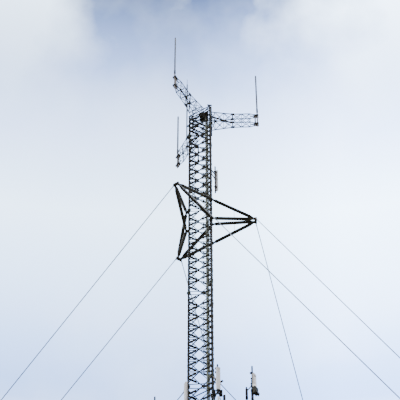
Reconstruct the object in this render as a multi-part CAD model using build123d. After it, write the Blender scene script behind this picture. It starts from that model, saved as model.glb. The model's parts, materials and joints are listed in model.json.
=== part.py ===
from build123d import *
from math import atan2, cos, degrees, hypot, radians, sin
import os

os.makedirs("parts", exist_ok=True)

# Guyed lattice radio mast. Lengths in mm, +Z up, origin at the centre of the plinth's underside.
# Azimuths are in degrees from +X towards +Y.

# Mast body
FACE_WIDTH = 1000.0          # leg centre to leg centre
LEG_ACROSS = 73.0            # leg tube, across its flats
LEG_SIDES = 12
LEG_AZIMUTHS = (180.0, -60.0, 60.0)
FACE_AZIMUTHS = (-120.0, 0.0, 120.0)
FACE_NAMES = ("a", "b", "c")
PANEL = 667.0                # height of one crossed panel
PANELS = 8                   # panels in a whole section
SECTION = 5660.0
SECTIONS = 5
CAP_HEIGHT = 1490.0
CAP_PANELS = 2
CAP_MARGIN = 132.0           # foot of the cap to its first node
FLANGE_ACROSS = 150.0
FLANGE_THICK = 16.0

# Flat bars of the bracing
BRACE_THICK = 8.0
RAIL_DEPTH = 30.0            # level bars at mid panel
DIAGONAL_WIDTH = 25.0
BAR_OVERRUN = 22.0           # level bars past the leg centre

# Foot: plinth, base plate, pivot and tapered section
PLINTH_ACROSS = 1500.0
PLINTH_HEIGHT = 300.0
PLINTH_CHAMFER = 40.0
SHOE_ACROSS = 640.0
SHOE_THICK = 30.0
PIVOT_ACROSS = 180.0
PIVOT_HEIGHT = 70.0
FOOT_ACROSS = 420.0
FOOT_THICK = 30.0
FOOT_RADIUS = 130.0          # where the legs meet the foot
TAPER_HEIGHT = 5900.0
TAPER_BAYS = 5
TAPER_RAIL = 40.0
TAPER_DIAGONAL = 25.0

# Ladder and cables inside the mast
LADDER_X = 105.0
LADDER_HALF = 190.0
STRINGER_DEPTH = 45.0
STRINGER_THICK = 15.0
RUNG = 20.0
RUNG_PITCH = 333.5
LADDER_START = 250.0         # above the joint with the tapered section
LADDER_END = 300.0           # below the top of the mast
FIRST_RUNG = 150.0
TIE_HEIGHT = 30.0
TIE_THICK = 10.0
HANGER_X = 160.0
CABLE = 34.0
CABLE_PITCH = 56.0
CABLES = 4                   # on each side of the hangers
CABLE_START = 300.0

# Torsion arms
ARM_SECTION = 3              # whole sections below the one that carries the arms
ARM_NODE = 7                 # node of that section at the arms' middle
ARM_REACH = 2057.0           # mast axis to the crossbar
LUG_REACH = 688.0            # mast axis to the lug holes
LUG_PAST = 46.0              # lug beyond its hole
LUG_THICK = 20.0
LUG_HEIGHT = 130.0
TUBE = 102.0
NECK = 42.0
NECK_LENGTH = 60.0
TAB_THICK = 12.0
TAB_SIZE = 92.0
CROSSBAR = 104.0
CROSSBAR_HALF = 125.0
CROSSBAR_GUY = 98.0          # middle of the crossbar to a guy
TUBE_SPREAD = 58.0           # middle of the crossbar to a tube
LINK = 16.0
LINK_AT = 0.5                # along the tubes

# Whip arms at the top
WHIP_ARM_STEPS = (861.0, 1245.0, 1991.0)
WHIP_ROOT_HALF = 250.0
WHIP_MID_HALF = 120.0
CHORD = 28.0
POST = 20.0
ROOT_BAR_DEPTH = 46.0
ROOT_BAR_THICK = 10.0
SPLICE_LENGTH = 150.0
SPLICE_THICK = 10.0
SPLICE_EDGE = 8.0
MOUNT_REACH = 2300.0         # mast axis to a whip
MOUNT_PIPE = 60.0
MOUNT_BRACKET = 40.0
MOUNT_DROP = 160.0           # pipe below the lower chords
WHIP_FOOT_RISE = 270.0       # above the top of the mast
WHIP = 42.0
WHIP_LENGTH = 3110.0
FERRULE = 60.0
FERRULE_LENGTH = 330.0

# Lightning pole
POLE = 45.0
POLE_REACH = 692.0
POLE_LAP = 280.0             # below the joint with the cap
POLE_LENGTH = 4550.0
ROD = 18.0
ROD_LENGTH = 440.0
POLE_CLAMPS = (120.0, 1050.0)
CLAMP_HEIGHT = 60.0
CLAMP_WIDTH = 32.0

# Panel antennas on pipes that stand off from the legs
STAND_PIPE = 60.0
PANEL_WIDTH = 150.0
PANEL_DEPTH = 75.0
BOX_CHAMFER = 18.0
BOX_GAP = 30.0               # pipe to the box that it carries
BRACKET_WIDTH = 50.0
BRACKET_HEIGHT = 50.0
BRACKET_INSET = 160.0        # brackets in from the ends of a box
STRUT = 36.0
UPPER_AWAY = 363.0           # leg centre to the upper antenna's pipe
UPPER_PIPE_DROP = 1200.0     # pipe top below the joint with the cap
UPPER_PIPE_LENGTH = 1990.0
UPPER_PANEL_DROP = 230.0     # panel below the top of its pipe
UPPER_PANEL_LENGTH = 1460.0
UPPER_STRUTS = (630.0, 940.0)     # struts below the top of the pipe
NEAR_AWAY = 630.0
NEAR_AZIMUTH = -72.0         # from the leg centre to the near antenna's pipe
NEAR_FACING = -75.0
NEAR_PIPE_DROP = 200.0       # pipe top below the joint over the lower guys
NEAR_STRUTS = (550.0, 1450.0)
SIDE_AWAY = 190.0
SIDE_AZIMUTH = -90.0
SIDE_FACING = -150.0
SIDE_PIPE_RISE = 50.0        # pipe top above that joint
SIDE_STRUTS = (379.0, 1379.0)
LEG_PIPE_LENGTH = 1650.0     # near and side antennas
NEAR_PANEL_DROP = 300.0
SIDE_PANEL_DROP = 160.0
LEG_PANEL_LENGTH = 1170.0

# Sector arms below the lower guys
SECTOR_LEGS = (-60.0, 180.0, 60.0)
SECTOR_FACINGS = (-40.0, 164.0, 70.0)
SECTOR_X = (1698.0, -1780.0, 650.0)         # antenna pipes
SECTOR_Y = (-770.0, 520.0, 1785.0)
BOOM = 60.0
BOOM_DROPS = (1996.0, 2329.0)     # below the joint over the lower guys
SECTOR_PIPE_TOP = 90.0            # above that joint
SECTOR_PIPE_LENGTH = 2600.0
SECTOR_PANEL_DROP = 540.0
SECTOR_PANEL_LENGTH = 715.0
RADIO_WIDTH = 180.0
RADIO_DEPTH = 120.0
RADIO_HEIGHT = 340.0
RADIO_GAP = 60.0                  # radio unit below the panel
INNER_PIPE_IN = 220.0             # antenna pipe to the shorter inner pipe
INNER_PIPE_RISE = 950.0           # above the upper boom
INNER_PIPE_PAST = 120.0           # below the lower boom
FILTER_WIDTH = 90.0
FILTER_DEPTH = 90.0
FILTER_HEIGHT = 440.0
FILTER_DROP = 250.0               # filter below the top of the inner pipe
FILTER_TURN = -50.0               # from the way that the antenna faces
COLLAR_DEPTH = 60.0
COLLAR_THICK = 10.0
COLLAR_NODE = 7

# Guys and ground anchors
GUY = 20.0
GUY_SIDES = 6
UPPER_ANCHOR_REACH = 13610.0
UPPER_ANCHOR_SIDE = 1173.0
LOWER_ANCHOR_REACH = 9300.0
BEAM_WIDTH = 3000.0
BEAM_LENGTH = 900.0
BEAM_HEIGHT = 300.0
BLOCK_SIZE = 1000.0
CONCRETE_CHAMFER = 30.0
STEM_LENGTH = 330.0
STEM_WIDTH = 90.0
STEM_THICK = 30.0
HEAD_SIZE = 110.0
HEAD_THICK = 25.0
PAD_SIZE = 300.0
PAD_THICK = 20.0
LOWER_LUG_DROP = 240.0       # below the flange joint
TURNBUCKLE = 50.0
TURNBUCKLE_START = 60.0
TURNBUCKLE_LENGTH = 600.0
SOCKET = 40.0
SOCKET_LENGTH = 280.0

LEG_CIRCLE = FACE_WIDTH / (2 * cos(radians(30)))
FACE_INSET = LEG_CIRCLE / 2
SHEET_IN = LEG_ACROSS / 2
SHEET_OUT = SHEET_IN + BRACE_THICK
SHOE_TOP = PLINTH_HEIGHT + SHOE_THICK
BASE = SHOE_TOP + TAPER_HEIGHT
MARGIN = (SECTION - PANELS * PANEL) / 2
TOP_JOINT = BASE + SECTIONS * SECTION
MAST_TOP = TOP_JOINT + CAP_HEIGHT
LOWER_JOINT = BASE + (ARM_SECTION - 1) * SECTION
ARM_CENTRE = BASE + ARM_SECTION * SECTION + MARGIN + ARM_NODE * PANEL
ARM_LEVELS = (ARM_CENTRE - PANEL, ARM_CENTRE + PANEL)
LOWER_GUY_LEVEL = LOWER_JOINT - LOWER_LUG_DROP
LUG_END = LUG_REACH + LUG_PAST


def spin(azimuth):
    return Rot(0, 0, azimuth)


def block(x0, x1, y0, y1, z0, z1):
    return Pos((x0 + x1) / 2, (y0 + y1) / 2, (z0 + z1) / 2) * Box(abs(x1 - x0), abs(y1 - y0), abs(z1 - z0))


def prism(across, sides, length):
    """Upright bar with a regular section and a flat that faces +X."""
    return extrude(RegularPolygon(across / 2, sides, major_radius=False, rotation=180.0 / sides), length)


def bar(start, end, across, sides=8):
    """Straight bar between two points, with two level edges."""
    a, b = Vector(start), Vector(end)
    way = b - a
    side = Vector(0, 0, 1).cross(way)
    if side.length < 1e-6:
        side = Vector(1, 0, 0)
    plane = Plane(origin=a, x_dir=side.normalized(), z_dir=way.normalized())
    section = RegularPolygon(across / 2, sides, major_radius=False, rotation=180.0 / sides)
    return extrude(plane * section, way.length)


def joined(pieces):
    return pieces[0].fuse(*pieces[1:]).clean() if len(pieces) > 1 else pieces[0]


def save(name, *shapes):
    solids = [solid for shape in shapes for solid in shape.solids()]
    export_step(solids[0] if len(solids) == 1 else Compound(children=solids), f"parts/{name}.step")


# Legs: a tube with a six-sided flange at each end, and lugs where guys and arms are pinned
def leg(length, head_flange=True):
    pieces = [prism(LEG_ACROSS, LEG_SIDES, length), prism(FLANGE_ACROSS, 6, FLANGE_THICK)]
    if head_flange:
        pieces.append(Pos(0, 0, length - FLANGE_THICK) * prism(FLANGE_ACROSS, 6, FLANGE_THICK))
    return Pos(LEG_CIRCLE, 0, 0) * joined(pieces)


def lug(level):
    return block(LEG_CIRCLE, LUG_END, -LUG_THICK / 2, LUG_THICK / 2, level - LUG_HEIGHT / 2,
                 level + LUG_HEIGHT / 2)


section_leg = leg(SECTION)
lugs_of = {ARM_SECTION: ARM_LEVELS, ARM_SECTION - 2: (LOWER_GUY_LEVEL,)}
for n in range(SECTIONS):
    one = Pos(0, 0, BASE + n * SECTION) * section_leg
    one = joined([one] + [lug(level) for level in lugs_of.get(n, ())])
    save(f"legs_{n + 1}", *[spin(a) * one for a in LEG_AZIMUTHS])
cap_leg = Pos(0, 0, TOP_JOINT) * leg(CAP_HEIGHT, head_flange=False)
save("legs_cap", *[spin(a) * cap_leg for a in LEG_AZIMUTHS])


# Bracing: one flat lattice a side, bolted outside the legs
def lattice(panels, first_node):
    """Two zigzag bars that cross in every panel, with a level bar through each crossing."""
    half = FACE_WIDTH / 2
    shift = DIAGONAL_WIDTH / 2 / sin(atan2(PANEL, FACE_WIDTH))
    nodes = [first_node + i * PANEL for i in range(panels + 1)]
    pieces = []
    for hand in (-half, half):
        left = [(hand * (-1) ** i - shift, z) for i, z in enumerate(nodes)]
        right = [(hand * (-1) ** i + shift, z) for i, z in enumerate(nodes)]
        pieces.append(make_face(Polyline(*left, *reversed(right), close=True)))
    for z in nodes[:-1]:
        pieces.append(Pos(0, z + PANEL / 2) * Rectangle(2 * (half + BAR_OVERRUN), RAIL_DEPTH))
    upright = Plane(origin=(FACE_INSET + SHEET_IN, 0, 0), x_dir=(0, 1, 0), z_dir=(1, 0, 0))
    return upright.location * extrude(joined(pieces), BRACE_THICK)


section_lattice = lattice(PANELS, MARGIN)
cap_lattice = lattice(CAP_PANELS, CAP_MARGIN)
for name, azimuth in zip(FACE_NAMES, FACE_AZIMUTHS):
    for n in range(SECTIONS):
        save(f"bracing_{n + 1}_{name}", spin(azimuth) * Pos(0, 0, BASE + n * SECTION) * section_lattice)
    save(f"bracing_cap_{name}", spin(azimuth) * Pos(0, 0, TOP_JOINT) * cap_lattice)

# Foot: concrete plinth, base plate, and a pivot under the foot of the tapered section
plinth = prism(PLINTH_ACROSS, 6, PLINTH_HEIGHT)
save("plinth", chamfer(plinth.faces().sort_by(Axis.Z)[-1].edges(), PLINTH_CHAMFER))
base_plate = joined([Pos(0, 0, PLINTH_HEIGHT) * prism(SHOE_ACROSS, 6, SHOE_THICK),
                     Pos(0, 0, SHOE_TOP) * prism(PIVOT_ACROSS, 12, PIVOT_HEIGHT)])
save("base_plate", base_plate)


# Tapered section: legs that draw in to the foot, rails round each level and one diagonal a bay and side
def taper_point(azimuth, z):
    low = SHOE_TOP + PIVOT_HEIGHT + FOOT_THICK / 2
    share = (z - low) / (BASE - FLANGE_THICK / 2 - low)
    return (spin(azimuth) * Pos(FOOT_RADIUS + (LEG_CIRCLE - FOOT_RADIUS) * share, 0, z)).position


taper_low = SHOE_TOP + PIVOT_HEIGHT + FOOT_THICK / 2
taper_high = BASE - FLANGE_THICK / 2
taper_pieces = [Pos(0, 0, SHOE_TOP + PIVOT_HEIGHT) * prism(FOOT_ACROSS, 6, FOOT_THICK)]
for azimuth in LEG_AZIMUTHS:
    taper_pieces.append(bar(taper_point(azimuth, taper_low), taper_point(azimuth, taper_high), LEG_ACROSS, 6))
    taper_pieces.append(spin(azimuth) * Pos(LEG_CIRCLE, 0, BASE - FLANGE_THICK)
                        * prism(FLANGE_ACROSS, 6, FLANGE_THICK))
levels = [taper_low + (taper_high - taper_low) * i / TAPER_BAYS for i in range(TAPER_BAYS + 1)]
for i, z in enumerate(levels[1:], start=1):
    for azimuth in LEG_AZIMUTHS:
        here, beyond = azimuth, azimuth + 120
        if i < TAPER_BAYS:
            taper_pieces.append(bar(taper_point(here, z), taper_point(beyond, z), TAPER_RAIL, 4))
        taper_pieces.append(bar(taper_point(here, levels[i - 1] + TAPER_RAIL * 2),
                                taper_point(beyond, z - TAPER_RAIL * 2), TAPER_DIAGONAL, 4))
save("base_section", joined(taper_pieces))

# Ladder with its ties to side b, and hangers for the cables
ladder_foot = BASE + LADDER_START
ladder_head = MAST_TOP - LADDER_END
pieces = []
for side in (-1, 1):
    y = side * LADDER_HALF
    pieces.append(block(LADDER_X - STRINGER_DEPTH / 2, LADDER_X + STRINGER_DEPTH / 2, y - STRINGER_THICK / 2,
                        y + STRINGER_THICK / 2, ladder_foot, ladder_head))
z = ladder_foot + FIRST_RUNG
while z < ladder_head - FIRST_RUNG / 2:
    pieces.append(block(LADDER_X - RUNG / 2, LADDER_X + RUNG / 2, -LADDER_HALF, LADDER_HALF,
                        z - RUNG / 2, z + RUNG / 2))
    z += RUNG_PITCH
tie_edge = LADDER_HALF + STRINGER_THICK / 2
for n in range(SECTIONS):
    for i in (1.5, PANELS - 1.5):
        z = BASE + n * SECTION + MARGIN + i * PANEL
        low, high = z - TIE_HEIGHT / 2, z + TIE_HEIGHT / 2
        for side in (-1, 1):
            pieces.append(block(LADDER_X - STRINGER_DEPTH / 2, FACE_INSET + SHEET_IN, side * tie_edge,
                                side * (tie_edge + TIE_THICK), low, high))
        pieces.append(block(HANGER_X, HANGER_X + TIE_THICK, -tie_edge - TIE_THICK, tie_edge + TIE_THICK,
                            low, high))
save("ladder", joined(pieces))
cable_foot = BASE + CABLE_START
cable = prism(CABLE, 8, ladder_head - cable_foot)
save("feeder_cables", *[Pos(x, (i - (CABLES - 1) / 2) * CABLE_PITCH, cable_foot) * cable
                        for x in (HANGER_X - CABLE / 2, HANGER_X + TIE_THICK + CABLE / 2)
                        for i in range(CABLES)])

# Torsion arms: four tubes from the lugs of two legs to a crossbar, with a link rod between each pair
crossbar = block(ARM_REACH - CROSSBAR / 2, ARM_REACH + CROSSBAR / 2, -CROSSBAR_HALF, CROSSBAR_HALF,
                 ARM_CENTRE - CROSSBAR / 2, ARM_CENTRE + CROSSBAR / 2)
arm_pieces, lug_spaces = [crossbar], []
for side in (-1, 1):
    turn = spin(side * 60)
    tip = Vector(ARM_REACH, side * TUBE_SPREAD, ARM_CENTRE)
    middles = []
    for level in ARM_LEVELS:
        tab_y = -side * (LUG_THICK + TAB_THICK) / 2
        start = (turn * Pos(LUG_REACH, tab_y, level)).position
        way = (tip - start).normalized()
        arm_pieces.append(turn * Pos(LUG_REACH, tab_y, level) * Box(TAB_SIZE, TAB_THICK, TAB_SIZE))
        arm_pieces.append(bar(start, start + way * (NECK_LENGTH + LINK), NECK))
        arm_pieces.append(bar(start + way * NECK_LENGTH, tip, TUBE))
        lug_spaces.append(turn * lug(level))
        middles.append(start + (tip - start) * LINK_AT)
    arm_pieces.append(bar(middles[0], middles[1], LINK, 4))
arm = joined(arm_pieces)
for space in lug_spaces:
    arm = arm - space
for name, azimuth in zip(FACE_NAMES, FACE_AZIMUTHS):
    save(f"torsion_arm_{name}", spin(azimuth) * arm)

# Whip arms: a tapered box frame on each side of the cap, with a pipe on brackets at its end
root_in = FACE_INSET + SHEET_OUT
root_out = root_in + ROOT_BAR_THICK
splice_at = WHIP_ARM_STEPS[1]
arm_end = WHIP_ARM_STEPS[-1]


def half_width(u):
    share = min(1.0, (u - root_in) / (splice_at - root_in))
    return WHIP_ROOT_HALF + (WHIP_MID_HALF - WHIP_ROOT_HALF) * share


upper_chord = TOP_JOINT + CAP_MARGIN + CAP_PANELS * PANEL
lower_chord = upper_chord - PANEL
whip_pieces = []
for level in (lower_chord, upper_chord):
    edge = FACE_WIDTH / 2 + BAR_OVERRUN
    whip_pieces.append(block(root_in, root_out, -edge, edge, level - ROOT_BAR_DEPTH / 2,
                             level + ROOT_BAR_DEPTH / 2))
    for side in (-1, 1):
        root = (root_out - ROOT_BAR_THICK / 4, side * WHIP_ROOT_HALF, level)
        whip_pieces.append(bar(root, (splice_at, side * WHIP_MID_HALF, level), CHORD, 4))
        whip_pieces.append(block(splice_at, arm_end, side * WHIP_MID_HALF - CHORD / 2,
                                 side * WHIP_MID_HALF + CHORD / 2, level - CHORD / 2, level + CHORD / 2))
    for u in WHIP_ARM_STEPS:
        whip_pieces.append(block(u - POST / 2, u + POST / 2, -half_width(u), half_width(u),
                                 level - POST / 2, level + POST / 2))
    edge = WHIP_MID_HALF + CHORD / 2 + SPLICE_EDGE
    out = 1 if level == upper_chord else -1
    whip_pieces.append(block(splice_at - SPLICE_LENGTH / 2, splice_at + SPLICE_LENGTH / 2, -edge, edge,
                             level + out * CHORD / 2, level + out * (CHORD / 2 + SPLICE_THICK)))
    whip_pieces.append(block(arm_end, MOUNT_REACH, -MOUNT_BRACKET / 2, MOUNT_BRACKET / 2,
                             level - MOUNT_BRACKET / 2, level + MOUNT_BRACKET / 2))
for u in WHIP_ARM_STEPS:
    for side in (-1, 1):
        y = side * half_width(u)
        whip_pieces.append(block(u - POST / 2, u + POST / 2, y - POST / 2, y + POST / 2,
                                 lower_chord, upper_chord))
mount_foot = lower_chord - MOUNT_DROP
whip_foot = MAST_TOP + WHIP_FOOT_RISE
whip_pieces.append(Pos(MOUNT_REACH, 0, mount_foot) * prism(MOUNT_PIPE, 8, whip_foot - mount_foot))
whip_arm = joined(whip_pieces)
for name, azimuth in zip(FACE_NAMES, FACE_AZIMUTHS):
    save(f"whip_arm_{name}", spin(azimuth) * whip_arm)
whip = Pos(MOUNT_REACH, 0, whip_foot) * joined([prism(FERRULE, 8, FERRULE_LENGTH), prism(WHIP, 8, WHIP_LENGTH)])
save("whips", *[spin(a) * whip for a in FACE_AZIMUTHS])

# Lightning pole clamped outside the leg at 180
pole_foot = TOP_JOINT - POLE_LAP
pole_pieces = [Pos(POLE_REACH, 0, pole_foot) * prism(POLE, 8, POLE_LENGTH),
               Pos(POLE_REACH, 0, pole_foot + POLE_LENGTH) * prism(ROD, 8, ROD_LENGTH)]
for rise in POLE_CLAMPS:
    level = pole_foot + rise
    pole_pieces.append(block(LEG_CIRCLE + LEG_ACROSS / 2, POLE_REACH, -CLAMP_WIDTH / 2, CLAMP_WIDTH / 2,
                             level - CLAMP_HEIGHT / 2, level + CLAMP_HEIGHT / 2))
save("lightning_pole", spin(180) * joined(pole_pieces))


# Antennas and radio units: boxes on two brackets from an upright pipe
def stand_pipe(place, foot, length):
    return Pos(*place, foot) * prism(STAND_PIPE, 6, length)


def brackets(place, facing, foot, length):
    """Two brackets from a pipe to the back of the box that it carries."""
    arm = block(0, STAND_PIPE / 2 + BOX_GAP, -BRACKET_WIDTH / 2, BRACKET_WIDTH / 2, -BRACKET_HEIGHT / 2,
                BRACKET_HEIGHT / 2)
    rises = (BRACKET_INSET, length - BRACKET_INSET)
    return [Pos(*place, foot + rise) * spin(facing) * arm for rise in rises]


def carried_box(place, facing, foot, width, depth, length):
    back = STAND_PIPE / 2 + BOX_GAP
    box = block(back, back + depth, -width / 2, width / 2, 0, length)
    front = box.edges().filter_by(Axis.Z).sort_by(Axis.X)[2:]
    return Pos(*place, foot) * spin(facing) * chamfer(front, BOX_CHAMFER)


def polar(radius, azimuth):
    return radius * cos(radians(azimuth)), radius * sin(radians(azimuth))


def from_leg(place, azimuth, level, across):
    """Square bar from a leg to a place at the same level, with a flat end against the leg."""
    root = polar(LEG_CIRCLE, azimuth)
    whole = bar((*root, level), (*place, level), across, 4)
    return whole - Pos(*root, level - across) * prism(LEG_ACROSS, LEG_SIDES, 2 * across)


def leg_antenna(azimuth, away, way, facing, head, length, struts, panel_drop, panel_length):
    """Pipe with its struts and brackets, and its panel. Heights are measured down from the pipe's head."""
    root = polar(LEG_CIRCLE, azimuth)
    step = polar(away, way)
    place = (root[0] + step[0], root[1] + step[1])
    panel_foot = head - panel_drop - panel_length
    mount = [stand_pipe(place, head - length, length)]
    mount += brackets(place, facing, panel_foot, panel_length)
    mount += [from_leg(place, azimuth, head - drop, STRUT) for drop in struts]
    return joined(mount), carried_box(place, facing, panel_foot, PANEL_WIDTH, PANEL_DEPTH, panel_length)


upper = leg_antenna(60, UPPER_AWAY, 60, 60, TOP_JOINT - UPPER_PIPE_DROP, UPPER_PIPE_LENGTH, UPPER_STRUTS,
                    UPPER_PANEL_DROP, UPPER_PANEL_LENGTH)
near = leg_antenna(-60, NEAR_AWAY, NEAR_AZIMUTH, NEAR_FACING, LOWER_JOINT - NEAR_PIPE_DROP, LEG_PIPE_LENGTH,
                   NEAR_STRUTS, NEAR_PANEL_DROP, LEG_PANEL_LENGTH)
side = leg_antenna(180, SIDE_AWAY, SIDE_AZIMUTH, SIDE_FACING, LOWER_JOINT + SIDE_PIPE_RISE, LEG_PIPE_LENGTH,
                   SIDE_STRUTS, SIDE_PANEL_DROP, LEG_PANEL_LENGTH)
save("antenna_mounts", upper[0], near[0], side[0])

# Sector arms: two booms from a leg to an antenna pipe and a shorter inner pipe, and a collar round the mast
arms, sector_panels, radios = [], [], []
pipe_head = LOWER_JOINT + SECTOR_PIPE_TOP
panel_foot = pipe_head - SECTOR_PANEL_DROP - SECTOR_PANEL_LENGTH
radio_foot = panel_foot - RADIO_GAP - RADIO_HEIGHT
inner_head = LOWER_JOINT - BOOM_DROPS[0] + INNER_PIPE_RISE
inner_foot = LOWER_JOINT - BOOM_DROPS[1] - INNER_PIPE_PAST
filter_foot = inner_head - FILTER_DROP - FILTER_HEIGHT
for azimuth, facing, x, y in zip(SECTOR_LEGS, SECTOR_FACINGS, SECTOR_X, SECTOR_Y):
    root = polar(LEG_CIRCLE, azimuth)
    share = INNER_PIPE_IN / hypot(x - root[0], y - root[1])
    inner = (x + (root[0] - x) * share, y + (root[1] - y) * share)
    pieces = [stand_pipe((x, y), pipe_head - SECTOR_PIPE_LENGTH, SECTOR_PIPE_LENGTH),
              stand_pipe(inner, inner_foot, inner_head - inner_foot)]
    pieces += brackets((x, y), facing, panel_foot, SECTOR_PANEL_LENGTH)
    pieces += brackets((x, y), facing, radio_foot, RADIO_HEIGHT)
    pieces += brackets(inner, facing + FILTER_TURN, filter_foot, FILTER_HEIGHT)
    pieces += [from_leg((x, y), azimuth, LOWER_JOINT - drop, BOOM) for drop in BOOM_DROPS]
    arms.append(joined(pieces))
    sector_panels.append(carried_box((x, y), facing, panel_foot, PANEL_WIDTH, PANEL_DEPTH, SECTOR_PANEL_LENGTH))
    radios.append(carried_box((x, y), facing, radio_foot, RADIO_WIDTH, RADIO_DEPTH, RADIO_HEIGHT))
    radios.append(carried_box(inner, facing + FILTER_TURN, filter_foot, FILTER_WIDTH, FILTER_DEPTH,
                              FILTER_HEIGHT))
save("sector_arms", *arms)
save("panel_antennas", upper[1], near[1], side[1], *sector_panels)
save("radio_units", *radios)
collar_level = LOWER_JOINT - SECTION + MARGIN + COLLAR_NODE * PANEL
edge = FACE_WIDTH / 2 + BAR_OVERRUN
collar = block(root_in, root_in + COLLAR_THICK, -edge, edge, collar_level - COLLAR_DEPTH / 2,
               collar_level + COLLAR_DEPTH / 2)
save("collar", *[spin(a) * collar for a in FACE_AZIMUTHS])


# Guys: taut strands with a socket at the top and a turnbuckle at the foot
def guy(top, foot):
    way = (foot - top).normalized()
    length = (foot - top).length
    buckle = length - TURNBUCKLE_START - TURNBUCKLE_LENGTH
    return joined([bar(top, foot, GUY, GUY_SIDES),
                   bar(top, top + way * SOCKET_LENGTH, SOCKET, GUY_SIDES),
                   bar(top + way * buckle, top + way * (buckle + TURNBUCKLE_LENGTH), TURNBUCKLE, GUY_SIDES)])


def stem(ground, top):
    """Inclined plate from a pad on the concrete towards the top of its guy, with a head plate."""
    way = (top - ground).normalized()
    side = Vector(0, 0, 1).cross(way).normalized()
    frame = Plane(origin=ground, x_dir=side, z_dir=way).location
    plate = Pos(0, 0, STEM_LENGTH / 2 - PAD_THICK) * Box(STEM_THICK, STEM_WIDTH, STEM_LENGTH + 2 * PAD_THICK)
    head = Pos(0, 0, STEM_LENGTH + HEAD_THICK / 2) * Box(HEAD_SIZE, HEAD_SIZE, HEAD_THICK)
    under = block(-PAD_SIZE, PAD_SIZE, -PAD_SIZE, PAD_SIZE, -PAD_SIZE, 0)
    pad = block(-PAD_SIZE / 2, PAD_SIZE / 2, -PAD_SIZE / 2, PAD_SIZE / 2, 0, PAD_THICK)
    azimuth = degrees(atan2(way.Y, way.X))
    place = Pos(ground) * spin(azimuth)
    whole = joined([frame * plate, frame * head, place * pad]) - place * under
    return whole, ground + way * (STEM_LENGTH + HEAD_THICK)


upper_guys, lower_guys, stems = [], [], []
for azimuth in LEG_AZIMUTHS:
    for side in (-1, 1):
        arm_turn = spin(azimuth + side * 60)
        top = (arm_turn * Pos(ARM_REACH, -side * CROSSBAR_GUY, ARM_CENTRE)).position
        ground = (spin(azimuth) * Pos(UPPER_ANCHOR_REACH, side * UPPER_ANCHOR_SIDE, BEAM_HEIGHT)).position
        piece, head = stem(ground, top)
        stems.append(piece)
        upper_guys.append(guy(top, head) - arm_turn * crossbar)
    top = (spin(azimuth) * Pos(LUG_REACH, 0, LOWER_GUY_LEVEL)).position
    ground = (spin(azimuth) * Pos(LOWER_ANCHOR_REACH, 0, BEAM_HEIGHT)).position
    piece, head = stem(ground, top)
    stems.append(piece)
    lower_guys.append(guy(top, head) - spin(azimuth) * lug(LOWER_GUY_LEVEL))
save("upper_guys", *upper_guys)
save("lower_guys", *lower_guys)
save("anchor_stems", *stems)


# Ground anchors: a wide beam for each pair of upper guys and a block for each lower guy
def concrete(reach, length, width):
    whole = Pos(reach, 0, BEAM_HEIGHT / 2) * Box(length, width, BEAM_HEIGHT)
    return chamfer(whole.faces().sort_by(Axis.Z)[-1].edges(), CONCRETE_CHAMFER)


beam = concrete(UPPER_ANCHOR_REACH, BEAM_LENGTH, BEAM_WIDTH)
lower_block = concrete(LOWER_ANCHOR_REACH, BLOCK_SIZE, BLOCK_SIZE)
save("anchor_blocks", *[spin(a) * one for a in LEG_AZIMUTHS for one in (beam, lower_block)])
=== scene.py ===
# %% [markdown]
# # A guyed radio mast
# This lesson dresses the imported model of a three-legged lattice mast. The model gives every piece its
# place, so the script reads the boxes of its nodes and never moves them. We start by loading it as a fixed
# frame. The dressed mast has to stay inside it.

# %% Load the frame
import json
from math import cos, pi, radians, sin

import bmesh
import bpy
from mathutils import Matrix, Vector


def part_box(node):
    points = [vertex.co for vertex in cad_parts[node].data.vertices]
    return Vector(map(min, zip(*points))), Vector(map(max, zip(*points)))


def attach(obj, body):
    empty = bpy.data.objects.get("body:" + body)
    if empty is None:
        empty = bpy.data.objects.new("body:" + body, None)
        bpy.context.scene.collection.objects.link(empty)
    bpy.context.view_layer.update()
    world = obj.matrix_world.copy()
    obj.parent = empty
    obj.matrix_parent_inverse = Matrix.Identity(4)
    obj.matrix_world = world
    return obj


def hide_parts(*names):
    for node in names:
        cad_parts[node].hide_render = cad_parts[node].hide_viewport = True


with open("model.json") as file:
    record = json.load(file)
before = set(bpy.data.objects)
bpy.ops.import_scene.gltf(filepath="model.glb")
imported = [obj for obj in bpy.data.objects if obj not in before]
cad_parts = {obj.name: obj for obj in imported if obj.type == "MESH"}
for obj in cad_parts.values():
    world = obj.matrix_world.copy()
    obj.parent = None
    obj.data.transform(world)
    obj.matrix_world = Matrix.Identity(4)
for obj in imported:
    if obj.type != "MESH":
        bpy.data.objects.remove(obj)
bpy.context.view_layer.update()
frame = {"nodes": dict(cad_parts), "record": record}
nodes = frame["nodes"]

# %% [markdown]
# ## The viewpoint
# The photograph looks steeply up at the mast from far away with a long lens. A camera that was fitted to
# the torsion arms and the lattice stands 71.6 face widths below their middle and 48 in front, pitched up
# 56.7 degrees. The mast is drawn 2182 pixels away, on an image of 400, which is a lens of 196 mm on a 36 mm
# sensor.

# %% Camera
FACE_WIDTH = 1.0
ARM_CENTRE = (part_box("torsion_arm_b")[0].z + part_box("torsion_arm_b")[1].z) / 2
CAMERA_BACK = 47.99
CAMERA_SIDE = -0.143
CAMERA_DROP = 71.57
CAMERA_PITCH = 56.72
CAMERA_YAW = 1.3
CAMERA_ROLL = -0.11
FOCAL_PIXELS = 2181.8
IMAGE_PIXELS = 400
SENSOR_WIDTH = 36.0
VIEW_DEPTH = 8000.0


def turn(angle, axis="Z"):
    return Matrix.Rotation(radians(angle), 4, axis)


def new_object(name, data):
    thing = bpy.data.objects.new(name, data)
    bpy.context.scene.collection.objects.link(thing)
    return thing


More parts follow.
